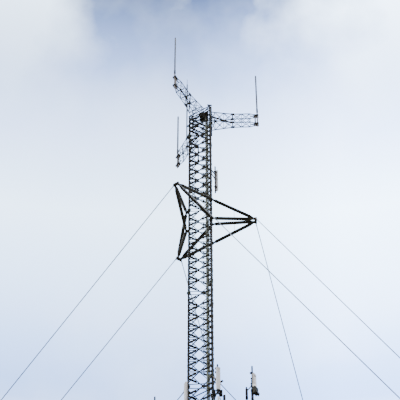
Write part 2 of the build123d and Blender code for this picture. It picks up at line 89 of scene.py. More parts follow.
eye = turn(CAMERA_YAW) @ Vector((CAMERA_SIDE, -CAMERA_BACK, 0)) * FACE_WIDTH
eye.z = ARM_CENTRE - CAMERA_DROP * FACE_WIDTH
camera_data = bpy.data.cameras.new("photo_camera")
camera_data.sensor_width = SENSOR_WIDTH
camera_data.lens = FOCAL_PIXELS / IMAGE_PIXELS * SENSOR_WIDTH
camera_data.clip_end = VIEW_DEPTH
camera = new_object("photo_camera", camera_data)
camera.matrix_world = (Matrix.Translation(eye) @ turn(CAMERA_YAW) @ turn(90 + CAMERA_PITCH, "X")
                       @ turn(CAMERA_ROLL))
bpy.context.scene.camera = camera
print("camera at", [round(v, 2) for v in eye], "lens", round(camera_data.lens, 1))


# %% [markdown]
# ## Writing shader maths as Python
# A node tree is easier to read as a formula. The class below wraps one output socket, so that adding or
# multiplying two of them adds a Math node, and one method makes every other node.

# %% A wrapped socket
class Socket:
    def __init__(self, tree, socket):
        self.tree = tree
        self.socket = socket

    def node(self, kind, settings=None, outlet=0, **inputs):
        made = self.tree.nodes.new(kind)
        for name, value in (settings or {}).items():
            if name == "stops":
                ramp = made.color_ramp.elements
                while len(ramp) < len(value):
                    ramp.new(1.0)
                for element, (place, colour) in zip(ramp, value):
                    element.position = place
                    element.color = colour
            else:
                setattr(made, name, value)
        for name, value in inputs.items():
            label = name.replace("_", " ")
            inlet = made.inputs[int(label[1:])] if label[1:].isdigit() else made.inputs[label]
            if isinstance(value, Socket):
                self.tree.links.new(value.socket, inlet)
            else:
                inlet.default_value = value
        return Socket(self.tree, made.outputs[outlet])

    def math(self, operation, other, swap=False):
        first, second = (other, self) if swap else (self, other)
        return self.node("ShaderNodeMath", {"operation": operation}, i0=first, i1=second)

    def __add__(self, other):
        return self.math("ADD", other)

    def __radd__(self, other):
        return self.math("ADD", other, swap=True)

    def __sub__(self, other):
        return self.math("SUBTRACT", other)

    def __rsub__(self, other):
        return self.math("SUBTRACT", other, swap=True)

    def __mul__(self, other):
        return self.math("MULTIPLY", other)

    def __rmul__(self, other):
        return self.math("MULTIPLY", other, swap=True)


# %% [markdown]
# Short functions sit on top of the class. Noise is read from Object coordinates, and stretched noise gives
# the streaks that rain leaves on upright steel. A threshold turns noise into patches with an edge, and a
# blend mixes two colours by a factor. The specular level is low on every finish, because the sky behind the
# mast is so bright that it would turn dark steel pale.

# %% Material helpers
SPECULAR = 0.06
finish = {}


def new_finish(name, roughness):
    finish[name] = material = bpy.data.materials.new(name)
    material.use_nodes = True
    shader = material.node_tree.nodes["Principled BSDF"]
    shader.inputs["Roughness"].default_value = roughness
    shader.inputs["Specular IOR Level"].default_value = SPECULAR
    place = material.node_tree.nodes.new("ShaderNodeTexCoord")
    return shader, Socket(material.node_tree, place.outputs["Object"])


def noise(place, scale, detail=3.0, stretch=(1.0, 1.0, 1.0)):
    moved = place.node("ShaderNodeMapping", Vector=place, Scale=stretch)
    return moved.node("ShaderNodeTexNoise", Vector=moved, Scale=scale, Detail=detail)


def patches(value, low, high):
    return value.node("ShaderNodeMapRange", Value=value, From_Min=low, From_Max=high)


def blend(factor, first, second):
    colours = {"i6": first, "i7": second}
    for key, colour in colours.items():
        if not isinstance(colour, Socket):
            colours[key] = (*colour, 1.0)
    return factor.node("ShaderNodeMix", {"data_type": "RGBA"}, outlet=2, Factor=factor, **colours)


def dress(shader, colour, roughness, relief, strength, distance):
    """Plug colour, roughness and relief into a shader."""
    bump = relief.node("ShaderNodeBump", Strength=strength, Distance=distance, Height=relief)
    for name, value in (("Base Color", colour), ("Roughness", roughness), ("Normal", bump)):
        value.tree.links.new(value.socket, shader.inputs[name])


# %% [markdown]
# ## Steel
# The mast body is old painted steel: a dark tone that varies from bar to bar, pale rain streaks, brown rust
# in patches, and a grain fine enough to break up the highlights. The torsion tubes carry the same finish in
# a nearly black olive, with yellowish patches that are partly rust and partly painted glints.

# %% Steel finishes
def weathered_steel(name, dark, pale, rust_and_glint, rust_and_glint_share, roughness=0.62):
    shader, place = new_finish(name, roughness)
    tone = blend(noise(place, 2.3), dark, pale)
    streaks = patches(noise(place, 1.0, 4.0, (26.0, 26.0, 1.3)), 0.52, 0.72)
    washed = blend(streaks * 0.5, tone, [c * 1.7 for c in pale])
    # Patches in the rust colour: rust on most finishes; on arm_steel they are partly rust and partly painted
    # glints.
    stain_and_glint = patches(noise(place, 1.7, 6.0), 0.5 + rust_and_glint_share, 0.62 + rust_and_glint_share)
    speckle = patches(noise(place, 41.0, 2.0), 0.42, 0.6)
    grain = noise(place, 130.0, 2.0)
    dress(shader, blend(stain_and_glint * (0.35 + 0.5 * speckle), washed, rust_and_glint),
          roughness - 0.14 + 0.2 * grain + 0.12 * stain_and_glint, grain + 0.6 * speckle, 0.25, 0.0012)


weathered_steel("mast_steel", (0.0075, 0.0070, 0.0055), (0.0170, 0.0155, 0.0125), (0.040, 0.026, 0.010), 0.08)
# arm_steel: its yellowish patches are partly rust and partly painted glints.
weathered_steel("arm_steel", (0.0050, 0.0042, 0.0020), (0.0105, 0.0088, 0.0045), (0.045, 0.033, 0.011), 0.15)
weathered_steel("joint_steel", (0.026, 0.029, 0.022), (0.055, 0.060, 0.048), (0.040, 0.030, 0.018), 0.10)
weathered_steel("galvanised", (0.11, 0.096, 0.092), (0.20, 0.178, 0.172), (0.09, 0.065, 0.045), 0.12)
weathered_steel("pipe_steel", (0.016, 0.015, 0.015), (0.040, 0.038, 0.037), (0.05, 0.035, 0.02), 0.12)
# Ladder and cable clamps: painted much paler than the mast steel, as painted light caught from the ground.
weathered_steel("lit_ladder_steel", (0.14, 0.155, 0.13), (0.27, 0.29, 0.25), (0.09, 0.065, 0.04), 0.02)
weathered_steel("brown_steel", (0.012, 0.010, 0.004), (0.028, 0.022, 0.009), (0.045, 0.030, 0.011), -0.02,
                roughness=0.75)

# %% [markdown]
# ## Strand, cable, whip, shell and concrete
# Strand shows its lay as fine slanted bands. Cable is black plastic with pale patches, partly dust and partly
# painted sheen. Whips and antenna covers are moulded glass fibre, smooth with a thin clear coat and dirt that
# runs downwards. Concrete has a mottled grey, small air holes painted darker as painted shade inside them,
# and level marks from the boards it was cast in.

# %% Strand and cable finishes
shader, place = new_finish("guy_strand", 0.5)
lay = place.node("ShaderNodeTexWave", {"bands_direction": "DIAGONAL"}, Vector=place, Scale=26.0,
                 Distortion=0.6)
dress(shader, blend(lay, (0.020, 0.021, 0.023), (0.06, 0.063, 0.066)), 0.35 + 0.25 * noise(place, 18.0), lay,
      0.5, 0.002)

shader, place = new_finish("cable_sheath", 0.55)
# Pale patches on the black sheath: partly dust and partly a painted sheen.
dust_and_sheen = patches(noise(place, 1.0, 3.0, (14.0, 14.0, 7.0)), 0.42, 0.64)
dress(shader, blend(dust_and_sheen, (0.045, 0.048, 0.036), (0.190, 0.198, 0.150)), 0.42 + 0.35 * dust_and_sheen,
      noise(place, 60.0), 0.2, 0.001)


# %% Moulded finishes
def moulded(name, pale, dirt, dirt_low, coat):
    shader, place = new_finish(name, 0.42)
    shader.inputs["Coat Weight"].default_value = coat
    run = patches(noise(place, 1.0, 5.0, (20.0, 20.0, 1.6)), dirt_low, dirt_low + 0.28)
    cloud = noise(place, 4.0, 4.0)
    dress(shader, blend(run * (0.3 + 0.7 * cloud), pale, dirt), 0.30 + 0.25 * run + 0.1 * cloud,
          noise(place, 90.0, 2.0), 0.08, 0.0006)


moulded("whip_shell", (0.050, 0.050, 0.060), (0.030, 0.030, 0.034), 0.5, 0.02)
moulded("panel_shell", (0.52, 0.50, 0.51), (0.22, 0.20, 0.18), 0.42, 0.02)
moulded("radio_shell", (0.026, 0.023, 0.012), (0.010, 0.009, 0.005), 0.4, 0.0)
moulded("radio_cap", (0.004, 0.004, 0.004), (0.010, 0.010, 0.009), 0.6, 0.0)
moulded("cap_shell", (0.78, 0.75, 0.74), (0.50, 0.47, 0.43), 0.55, 0.02)

# %% Concrete finish
shader, place = new_finish("concrete", 0.9)
mottle = blend(noise(place, 3.0, 6.0), (0.20, 0.195, 0.18), (0.36, 0.355, 0.335))
damp = patches(noise(place, 1.1, 4.0), 0.5, 0.68)
# Air holes: pressed in by the bump and painted darker, as painted shade inside them.
shaded_holes = patches(place.node("ShaderNodeTexVoronoi", Vector=place, Scale=38.0), 0.16, 0.06)
boards = patches(place.node("ShaderNodeTexWave", {"bands_direction": "Z"}, Vector=place, Scale=1.6,
                            Distortion=0.3), 0.90, 1.0)
stained = blend(damp * 0.5, mottle, (0.12, 0.12, 0.10))
dress(shader, blend(shaded_holes * 0.7, stained, (0.07, 0.07, 0.065)), 0.95 - 0.2 * damp,
      noise(place, 45.0, 4.0) - 1.2 * shaded_holes - 0.8 * boards, 0.5, 0.004)

# %% Finishes on the nodes of the frame
slot_of = {part["node"]: part["material_slot"] for part in frame["record"]["subparts"]}
for name, thing in nodes.items():
    thing.data.materials.clear()
    thing.data.materials.append(finish[slot_of[name]])
print("finishes", sorted(finish))


# %% [markdown]
# ## Tools for steelwork
# Lattice masts are made of few kinds of piece: tubes, flat bars, cut plates, turned ends and bolts. Each
# gets one function here. A turned shape is spun once from its profile and then stamped wherever it is
# needed, because that is quicker than spinning it again. Every piece ends in the same function, which turns
# the faces outwards, counts open edges and hands the mesh over to the frame.

# %% Places and ways
def at(x, y, z):
    return Matrix.Translation((x, y, z))


def upward(z):
    return Vector((0, 0, z))


def rectangle(x, y):
    """Four corners round a centre."""
    return [(a, b) for a in (-x, x) for b in (-y, y)]


def way_of(place, x, y=0, z=0):
    """Direction that a place turns, without its offset."""
    return place.to_3x3() @ Vector((x, y, z))


def aim(start, way):
    """Place at a point whose Z runs along a way."""
    return Matrix.Translation(start) @ way.to_track_quat("Z", "Y").to_matrix().to_4x4()


def along(start, end, up=(0, 0, 1)):
    """Place whose X runs from start to end, and whose Z is as near to up as it can be."""
    x = (Vector(end) - Vector(start)).normalized()
    y = Vector(up).cross(x).normalized()
    place = Matrix((x, y, x.cross(y))).transposed().to_4x4()
    place.translation = start
    return place


# %% Bars, plates and turned shapes
def settled(mesh, name):
    """Mesh data from a bmesh that is done with."""
    data = bpy.data.meshes.new(name)
    mesh.to_mesh(data)
    mesh.free()
    return data


def soften(mesh, edges, width, steps=2):
    bmesh.ops.bevel(mesh, geom=edges, offset=width, segments=steps, profile=0.5, affect="EDGES", material=-1)


def slab(mesh, low, high, place=Matrix(), bevel=0.0):
    low, high = Vector(low), Vector(high)
    size = Matrix.Diagonal((*[abs(v) for v in high - low], 1.0))
    made = bmesh.ops.create_cube(mesh, size=1.0, matrix=place @ Matrix.Translation((low + high) / 2) @ size)
    if bevel:
        soften(mesh, list({edge for vert in made["verts"] for edge in vert.link_edges}), bevel)


def rod(mesh, start, end, radius, end_radius=None, sides=16):
    start, end = Vector(start), Vector(end)
    way = end - start
    end_radius = radius if end_radius is None else end_radius
    bmesh.ops.create_cone(mesh, cap_ends=True, segments=sides, radius1=radius, radius2=end_radius,
                          depth=way.length, matrix=aim((start + end) / 2, way))


def post(mesh, spot, low, high, radius, end_radius=None, sides=16):
    """Upright rod between two heights over a point."""
    rod(mesh, spot + upward(low), spot + upward(high), radius, end_radius, sides)


def pin(mesh, place, ends, radius, y=0, z=0, sides=12):
    """Rod along a place's X."""
    rod(mesh, *(place @ Vector((x, y, z)) for x in ends), radius, sides=sides)


def flat(mesh, start, end, width, height, up=(0, 0, 1)):
    length = (Vector(end) - Vector(start)).length
    slab(mesh, (0, -width / 2, -height / 2), (length, width / 2, height / 2), along(start, end, up))


def plate(mesh, outline, thick, place):
    corners = [mesh.verts.new((x, y, -thick / 2)) for x, y in outline]
    pushed = bmesh.ops.extrude_face_region(mesh, geom=[mesh.faces.new(corners)])["geom"]
    raised = [item for item in pushed if isinstance(item, bmesh.types.BMVert)]
    bmesh.ops.translate(mesh, verts=raised, vec=(0, 0, thick))
    bmesh.ops.transform(mesh, matrix=place, verts=corners + raised)


def turned(profile, sides=24):
    mesh = bmesh.new()
    points = [mesh.verts.new((radius, 0, height)) for radius, height in profile]
    edges = [mesh.edges.new(pair) for pair in zip(points, points[1:])]
    bmesh.ops.spin(mesh, geom=points + edges, cent=(0, 0, 0), axis=(0, 0, 1), angle=2 * pi, steps=sides,
                   use_merge=True)
    bmesh.ops.remove_doubles(mesh, verts=mesh.verts, dist=1e-6)
    return settled(mesh, "turned")


def band(radius, wall, half):
    """Ring that grips a round tube."""
    inner, outer = radius - 0.004, radius + wall
    return turned([(inner, -half), (outer, -half), (outer, half), (inner, half), (inner, -half)])


def stamp(mesh, shape, place):
    copy = shape.copy()
    copy.transform(place)
    mesh.from_mesh(copy)
    bpy.data.meshes.remove(copy)


def bolt(mesh, place, outward, across=0.024, head=0.012):
    place, outward = Vector(place), Vector(outward).normalized()
    rod(mesh, place, place + outward * head, across / 2 / cos(radians(30)), sides=6)


# %% Finished pieces
def piece(name, mesh, slot, *stands_for, material=None, angle=35):
    bmesh.ops.recalc_face_normals(mesh, faces=mesh.faces)
    open_edges = sum(not edge.is_manifold for edge in mesh.edges)
    data = settled(mesh, name)
    data.materials.append(finish[material or slot])
    data.polygons.foreach_set("use_smooth", [True] * len(data.polygons))
    data.set_sharp_from_angle(angle=radians(angle))
    thing = new_object(name, data)
    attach(thing, "root")
    if stands_for:
        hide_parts(*stands_for)
    print(name, len(data.polygons), "faces,", open_edges, "open edges")
    return thing


# %% [markdown]
# ## Legs
# Each leg section is a round tube with a welded flange at both ends, six ribs behind each flange and six
# bolts through each joint. Tube and flange are turned shapes, and the flange ends in a small slope, which
# is its weld. Two sections also carry lug plates, for the lower guys and for the torsion arms.

# %% Sizes of the mast body
LEG_AZIMUTHS = (180, -60, 60)
FACE_AZIMUTHS = {"a": -120, "b": 0, "c": 120}
FACE_INSET = FACE_WIDTH / 2 / 3 ** 0.5
LEG_CIRCLE = FACE_INSET * 2
LEG_RADIUS = 0.0365
FLANGE_RADIUS = 0.075
FLANGE_THICK = 0.016
BOLT_CIRCLE = 0.057
SECTION = 5.66
SECTIONS = 5
MARGIN = 0.162
CAP_MARGIN = 0.132
PANEL = 0.667
PANELS = 8
CAP_PANELS = 2
BAR_HALF = 0.522
SHEET = FACE_INSET + 0.0445
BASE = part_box("legs_1")[0].z
TOP_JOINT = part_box("legs_cap")[0].z
MAST_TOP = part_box("legs_cap")[1].z
LOWER_JOINT = BASE + 2 * SECTION
ARM_LEVELS = (ARM_CENTRE - PANEL, ARM_CENTRE + PANEL)
GUY_LUG_LEVEL = LOWER_JOINT - 0.24
LUG_REACH = 0.688
LUG_THICK = 0.02
sections = [*range(1, SECTIONS + 1), "cap"]
print("joints from", round(BASE, 3), "to", round(TOP_JOINT, 3), "mast top", round(MAST_TOP, 3))


# %% Leg sections
flange_profile = [(0, 0), (FLANGE_RADIUS - 0.002, 0), (FLANGE_RADIUS, 0.002),
                  (FLANGE_RADIUS, FLANGE_THICK - 0.002), (FLANGE_RADIUS - 0.002, FLANGE_THICK),
                  (LEG_RADIUS + 0.008, FLANGE_THICK),
                  (LEG_RADIUS + 0.001, FLANGE_THICK + 0.010), (LEG_RADIUS + 0.001, FLANGE_THICK + 0.11),
                  (LEG_RADIUS - 0.004, FLANGE_THICK + 0.112), (0, FLANGE_THICK + 0.112)]
flange = turned(flange_profile)


def leg_shape(length, open_head=False):
    if open_head:
        head = [(LEG_RADIUS, length - 0.012), (LEG_RADIUS - 0.006, length - 0.003), (0, length)]
    else:
        head = [(LEG_RADIUS, length - 0.02), (0, length - 0.02)]
    return turned([(0, 0.02), (LEG_RADIUS, 0.02)] + head)


def flange_ribs(mesh, place, rise):
    """Six ribs on one side of a flange, and its bolts at the angles between them."""
    outline = ((LEG_RADIUS - 0.004, 0), (FLANGE_RADIUS - 0.008, 0), (LEG_RADIUS - 0.004, rise * 0.06))
    for i in range(6):
        plate(mesh, outline, 0.005, place @ turn(60 * i) @ turn(90, "X"))
        bolt(mesh, place @ turn(60 * i + 30) @ Vector((BOLT_CIRCLE, 0, 0)), (0, 0, rise), 0.026, 0.015)


def lug(mesh, place):
    """Cut plate with two stiffeners, welded to a leg."""
    half, end = 0.065, LUG_REACH + 0.046
    outline = ((LEG_CIRCLE, -half), (end - 0.028, -half), (end, -half + 0.028), (end, half - 0.028),
               (end - 0.028, half), (LEG_CIRCLE, half))
    plate(mesh, outline, LUG_THICK, place @ turn(90, "X"))
    for z in (-0.069, 0.069):
        slab(mesh, (LEG_CIRCLE + 0.03, -0.03, z - 0.004), (0.66, 0.03, z + 0.004), place)


long_leg = leg_shape(SECTION)
cap_leg = leg_shape(MAST_TOP - TOP_JOINT, open_head=True)
lug_levels = {2: (GUY_LUG_LEVEL,), 4: ARM_LEVELS}
for n, label in enumerate(sections):
    mesh, joints = bmesh.new(), bmesh.new()
    for azimuth in LEG_AZIMUTHS:
        axis = turn(azimuth) @ at(LEG_CIRCLE, 0, BASE + n * SECTION)
        stamp(mesh, long_leg if n < SECTIONS else cap_leg, axis)
        stamp(joints, flange, axis)
        stamp(joints, flange, axis @ turn(180, "X"))
        for rise in (1, -1):
            flange_ribs(joints, axis @ at(0, 0, rise * FLANGE_THICK), rise)
        for level in lug_levels.get(label, ()):
            lug(mesh, turn(azimuth) @ at(0, 0, level))
    piece(f"leg_tubes_{label}", mesh, "mast_steel", f"legs_{label}")
    piece(f"leg_joints_{label}", joints, "mast_steel", material="joint_steel")

# %% [markdown]
# ## Bracing
# The frame has the thin bars of each face already, a zigzag pair with a level bar through each crossing. On
# the real mast the bars are angles, and each level bar is doubled near the legs by a heavier one, which is
# what draws the row of arrow shapes in the photograph. So angles with inward lips are laid over the flat
# bars of the frame. Gusset plates and bolts sit where the bars meet the legs, and one bolt holds each
# crossing.

# %% Angles, gussets and bolts
ARM_FROM = 0.52
ARM_TO = 0.135
LIP_FROM = 0.455
ARM_DEPTH = 0.074
TOP_ARM_DEPTH = 0.088
ARM_LIP = 0.042
ARM_THICK = 0.006
BRACE = 0.021
TOP_BRACE = 0.024
BRACE_THICK = 0.005
BRACE_END = 0.472
BRACE_LAP = 0.013


def brace_angle(mesh, place, start, end, wide):
    """Angle bar that lies on a face, with its lip turned into the mast."""
    start, end = place @ Vector(start), place @ Vector(end)
    bar = along(start, end, way_of(place, 1))
    length = (end - start).length
    slab(mesh, (0, -wide / 2, 0), (length, wide / 2, BRACE_THICK), bar)
    slab(mesh, (0, -wide / 2, -wide * 0.8), (length, -wide / 2 + BRACE_THICK, 0.004), bar)


def gusset(mesh, place, side, level):
    oval = Matrix.Diagonal((0.054, 0.040, 1, 1))
    bmesh.ops.create_cone(mesh, cap_ends=True, segments=8, radius1=1, radius2=1, depth=0.008,
                          matrix=place @ at(SHEET + 0.004, side * 0.482, level) @ turn(90, "Y") @ oval)
    for y, z in ((0.502, 0.0), (0.466, 0.024), (0.466, -0.024)):
        bolt(mesh, place @ Vector((SHEET + 0.008, side * y, level + z)), way_of(place, 1), head=0.009)


def face_fittings(mesh, place, levels, lip_up, deep, wide):
    for level in levels:
        for side in (-1, 1):
            gusset(mesh, place, side, level)
    for low in levels[:-1]:
        level = low + PANEL / 2
        lip = level + lip_up * (deep - ARM_THICK) / 2
        for side in (-1, 1):
            slab(mesh, (SHEET, side * ARM_TO, level - deep / 2),
                 (SHEET + ARM_THICK, side * ARM_FROM, level + deep / 2), place)
            slab(mesh, (SHEET + ARM_THICK - ARM_LIP, side * ARM_TO, lip - ARM_THICK / 2),
                 (SHEET + ARM_THICK / 2, side * LIP_FROM, lip + ARM_THICK / 2), place)
            for y in (0.50, 0.34, 0.17):
                bolt(mesh, place @ Vector((SHEET + ARM_THICK, side * y, level + 0.008)), way_of(place, 1))
        bolt(mesh, place @ Vector((SHEET, 0, level)), way_of(place, 1), 0.036, 0.010)
        for side, x in ((-1, SHEET), (1, SHEET - BRACE_LAP)):
            brace_angle(mesh, place, (x, -side * BRACE_END, low), (x, side * BRACE_END, low + PANEL), wide)
        brace_angle(mesh, place, (SHEET, -ARM_TO - 0.02, level), (SHEET, ARM_TO + 0.02, level), wide)


for n, label in enumerate(sections):
    mesh = bmesh.new()
    margin, panels = (MARGIN, PANELS) if n < SECTIONS else (CAP_MARGIN, CAP_PANELS)
    levels = [BASE + n * SECTION + margin + i * PANEL for i in range(panels + 1)]
    sizes = (ARM_DEPTH, BRACE) if n < 4 else (TOP_ARM_DEPTH, TOP_BRACE)
    for name, azimuth in FACE_AZIMUTHS.items():
        face_fittings(mesh, turn(azimuth), levels, 1 if name == "c" else -1, *sizes)
    piece(f"bracing_fittings_{label}", mesh, "mast_steel")

# %% [markdown]
# ## Ladder and cables
# The ladder stands inside the mast near the face on the right. Its stringers are flat bars, its rungs are
# round, and ties hold it to the bracing. Eight feeder cables hang behind it in two layers, and a clamp
# grips them at every second rung. The cables wander a little between clamps, so each is drawn through
# points half a clamp's distance apart.

# %% Ladder
ladder_low, ladder_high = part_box("ladder")
LADDER_X = 0.105
LADDER_HALF = 0.19
STRINGER_HALF = 0.0225
STRINGER_SIDE = 0.0075
RUNG_PITCH = 0.3335
FIRST_RUNG = 0.15
TIE_PANELS = (1.5, 6.5)
TIE_END = FACE_INSET + 0.0365
mesh = bmesh.new()
for side in (-1, 1):
    slab(mesh, (LADDER_X - STRINGER_HALF, side * LADDER_HALF - STRINGER_SIDE, ladder_low.z),
         (LADDER_X + STRINGER_HALF, side * LADDER_HALF + STRINGER_SIDE, ladder_high.z), bevel=0.003)
rungs = int((ladder_high.z - ladder_low.z - 0.2) / RUNG_PITCH) + 1
for i in range(rungs):
    z = ladder_low.z + FIRST_RUNG + i * RUNG_PITCH
    rod(mesh, (LADDER_X, -LADDER_HALF - 0.012, z), (LADDER_X, LADDER_HALF + 0.012, z), 0.011, sides=10)
tie_levels = [BASE + n * SECTION + MARGIN + i * PANEL for n in range(SECTIONS) for i in TIE_PANELS]
for z in tie_levels:
    for side in (-1, 1):
        y = side * (LADDER_HALF + 0.0125)
        slab(mesh, (LADDER_X - STRINGER_HALF, y - 0.005, z - 0.015), (TIE_END, y + 0.005, z + 0.015))
        slab(mesh, (TIE_END - 0.0065, y - 0.03, z - 0.025), (TIE_END, y + 0.03, z + 0.025))
        bolt(mesh, (LADDER_X, y + side * 0.005, z), (0, side, 0))
        bolt(mesh, (TIE_END - 0.0065, y - side * 0.018, z), (-1, 0, 0))
    slab(mesh, (0.160, -0.2125, z - 0.015), (0.170, 0.2125, z + 0.015))
print("rungs", rungs, "ties", len(tie_levels))
piece("ladder_bars", mesh, "mast_steel", "ladder", material="lit_ladder_steel")

# %% Cables
cable_low, cable_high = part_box("feeder_cables")
CABLE_RADIUS = 0.0195
CABLE_PITCH = 0.056
CABLE_LAYERS = (0.143, 0.187)
CABLES = 4
CABLE_WANDER = 0.004
CLAMP_PITCH = 2 * RUNG_PITCH
mesh = bmesh.new()
for layer, x in enumerate(CABLE_LAYERS):
    for i in range(CABLES):
        made = bmesh.ops.create_circle(mesh, cap_ends=True, segments=10, radius=CABLE_RADIUS,
                                       matrix=at(x, (i - (CABLES - 1) / 2) * CABLE_PITCH, cable_low.z))
        face = made["verts"][0].link_faces[0]
        z, step = cable_low.z, 0
        while z < cable_high.z - 1e-6:
            rise = min(CLAMP_PITCH / 2, cable_high.z - z)
            sway = CABLE_WANDER * (-1) ** ((step + 1) // 2 + CABLES * layer + i)
            face = bmesh.ops.extrude_discrete_faces(mesh, faces=[face])["faces"][0]
            bmesh.ops.translate(mesh, verts=face.verts, vec=(0, sway, rise))
            z += rise
            step += 1
bmesh.ops.holes_fill(mesh, edges=[edge for edge in mesh.edges if edge.is_boundary], sides=0)
piece("feeder_runs", mesh, "cable_sheath", "feeder_cables", angle=60)

# %% Cable clamps
CLAMP_HALF = 0.112
mesh = bmesh.new()
z = cable_low.z + 0.05
while z < cable_high.z - 0.05:
    for x in (0.132, 0.176):
        slab(mesh, (x - 0.012, -CLAMP_HALF, z - 0.014), (x - 0.004, CLAMP_HALF, z + 0.014))
        for y in (-CABLE_PITCH, 0.0, CABLE_PITCH):
            bolt(mesh, (x - 0.012, y, z), (-1, 0, 0), 0.016, 0.010)
    slab(mesh, (0.205, -CLAMP_HALF, z - 0.014), (0.212, CLAMP_HALF, z + 0.014))
    z += CLAMP_PITCH
piece("cable_clamps", mesh, "mast_steel", material="lit_ladder_steel")

# %% [markdown]
# ## Torsion arms
# Four heavy tubes run from lugs on two legs to a short crossbar, and two guys pull on each crossbar. The
# arms keep the mast from twisting. Each tube is turned with a neck at its foot and a cone at its head, each
# foot is a plate with four bolts on the side of the lug, and a thin link rod ties each pair of tubes
# together half way.

# %% Torsion arm tubes
ARM_REACH = 2.057
CROSSBAR_HALF = 0.052
CROSSBAR_END = 0.125
CROSSBAR_GUY = 0.098
TUBE_SPREAD = 0.058
TUBE_RADIUS = 0.065
HEAD_RADIUS = 0.036
TAB_THICK = 0.012
TAB_HALF = 0.046


def arm_tube(length):
    wide = TUBE_RADIUS
    neck = [(0, 0), (0.021, 0), (0.021, 0.055), (0.026, 0.062), (wide - 0.006, 0.118), (wide, 0.125)]
    ring = [(wide, length - 0.30), (wide + 0.004, length - 0.294), (wide, length - 0.288)]
    head = [(wide, length - 0.26), (HEAD_RADIUS, length - 0.13), (HEAD_RADIUS, length), (0, length)]
    return turned(neck + ring + head, 28)


def arm_foot(mesh, leg_turn, side, tab_y, level):
    """Tab plate of one tube on the side of its lug, with four bolts through both."""
    slab(mesh, (LUG_REACH - TAB_HALF, tab_y - TAB_THICK / 2, level - TAB_HALF),
         (LUG_REACH + TAB_HALF, tab_y + TAB_THICK / 2, level + TAB_HALF), leg_turn, bevel=0.004)
    outside = way_of(leg_turn, 0, side)
    for x, z in rectangle(0.03, 0.03):
        for y, way in ((side * LUG_THICK / 2, outside), (tab_y - side * TAB_THICK / 2, -outside)):
            bolt(mesh, leg_turn @ Vector((LUG_REACH + x, y, level + z)), way, 0.022)


def crossbar(mesh, place):
    """Bar at the tip of an arm, with a bolted plate for each guy."""
    slab(mesh, (ARM_REACH - CROSSBAR_HALF, -CROSSBAR_END, ARM_CENTRE - CROSSBAR_HALF),
         (ARM_REACH + CROSSBAR_HALF, CROSSBAR_END, ARM_CENTRE + CROSSBAR_HALF), place, bevel=0.010)
    for side in (-1, 1):
        spot = place @ at(ARM_REACH, side * CROSSBAR_GUY, ARM_CENTRE - CROSSBAR_HALF)
        outline = ((-0.04, 0.01), (-0.03, -0.045), (0.03, -0.045), (0.04, 0.01))
        plate(mesh, outline, 0.014, spot @ turn(90, "X"))
        for x, y in rectangle(0.035, 0.018):
            bolt(mesh, spot @ Vector((x, y, 2 * CROSSBAR_HALF)), (0, 0, 1), 0.018, 0.009)


for name, azimuth in FACE_AZIMUTHS.items():
    mesh = bmesh.new()
    for side in (-1, 1):
        leg_turn = turn(azimuth) @ turn(side * 60)
        tip = turn(azimuth) @ Vector((ARM_REACH, side * TUBE_SPREAD, ARM_CENTRE))
        tab_y = -side * (LUG_THICK + TAB_THICK) / 2
        middles = []
        for level in ARM_LEVELS:
            start = leg_turn @ Vector((LUG_REACH, tab_y, level))
            way = (tip - start).normalized()
            stamp(mesh, arm_tube((tip - start).length), aim(start, way))
            arm_foot(mesh, leg_turn, side, tab_y, level)
            for z in (-0.012, 0.012):
                flat(mesh, start + upward(z), start + way * 0.09 + upward(z * 2.2), 0.07, 0.006)
            middles.append((start + tip) / 2)
        rod(mesh, *middles, 0.008, sides=10)
        for spot, pull in zip(middles, (1, -1)):
            post(mesh, spot, pull * 0.045, pull * 0.11, 0.016, 0.010, sides=12)
    crossbar(mesh, turn(azimuth))
    piece(f"torsion_tubes_{name}", mesh, "arm_steel", f"torsion_arm_{name}")

# %% [markdown]
# ## Whip arms
# Three box frames stand out from the top of the mast, one on each face, and each holds a whip antenna on an
# upright pipe. A frame narrows from its root to the splice, where bolted plates join its two halves, and
# then runs straight. Its chords are angles, and thin flats cross in all four of its sides.

# %% Sizes of the whip arms
UPPER_CHORD = TOP_JOINT + CAP_MARGIN + CAP_PANELS * PANEL
LOWER_CHORD = UPPER_CHORD - PANEL
CHORD_LEVELS = (LOWER_CHORD, UPPER_CHORD)
ROOT = SHEET + 0.010
SPLICE = 1.245
ARM_END = 1.991
ROOT_HALF = 0.25
MID_HALF = 0.12
FRAMES = (0.499, 0.861, SPLICE, 1.625, ARM_END)
POST = 0.021
MOUNT_REACH = 2.3
WHIP_FOOT = MAST_TOP + 0.27
print("whip arm chords at", [round(level, 3) for level in CHORD_LEVELS])


def half_width(reach):
    share = min(1.0, (reach - SHEET) / (SPLICE - SHEET))
    return ROOT_HALF + (MID_HALF - ROOT_HALF) * share


def corner(place, reach, side, level):
    return place @ Vector((reach, side * half_width(reach), level))


# %% Chords, root bars and splices
chord_outline = ((-0.015, -0.015), (0.015, -0.015), (0.015, -0.008), (-0.008, -0.008), (-0.008, 0.015),
                 (-0.015, 0.015))


def splice(mesh, place, side, level):
    """Plates on three sides of a chord's joint, with four bolts through the level pair."""
    edge = MID_HALF * side
    for out in (-1, 1):
        slab(mesh, (SPLICE - 0.075, edge - 0.024, level + out * 0.016 - 0.003),
             (SPLICE + 0.075, edge + 0.024, level + out * 0.016 + 0.003), place)
    slab(mesh, (SPLICE - 0.075, edge + side * 0.013, level - 0.048),
         (SPLICE + 0.075, edge + side * 0.021, level + 0.048), place, bevel=0.002)
    for x in (-0.055, -0.02, 0.02, 0.055):
        for out in (-1, 1):
            bolt(mesh, place @ Vector((SPLICE + x, edge, level + out * 0.019)), (0, 0, out), 0.018, 0.009)


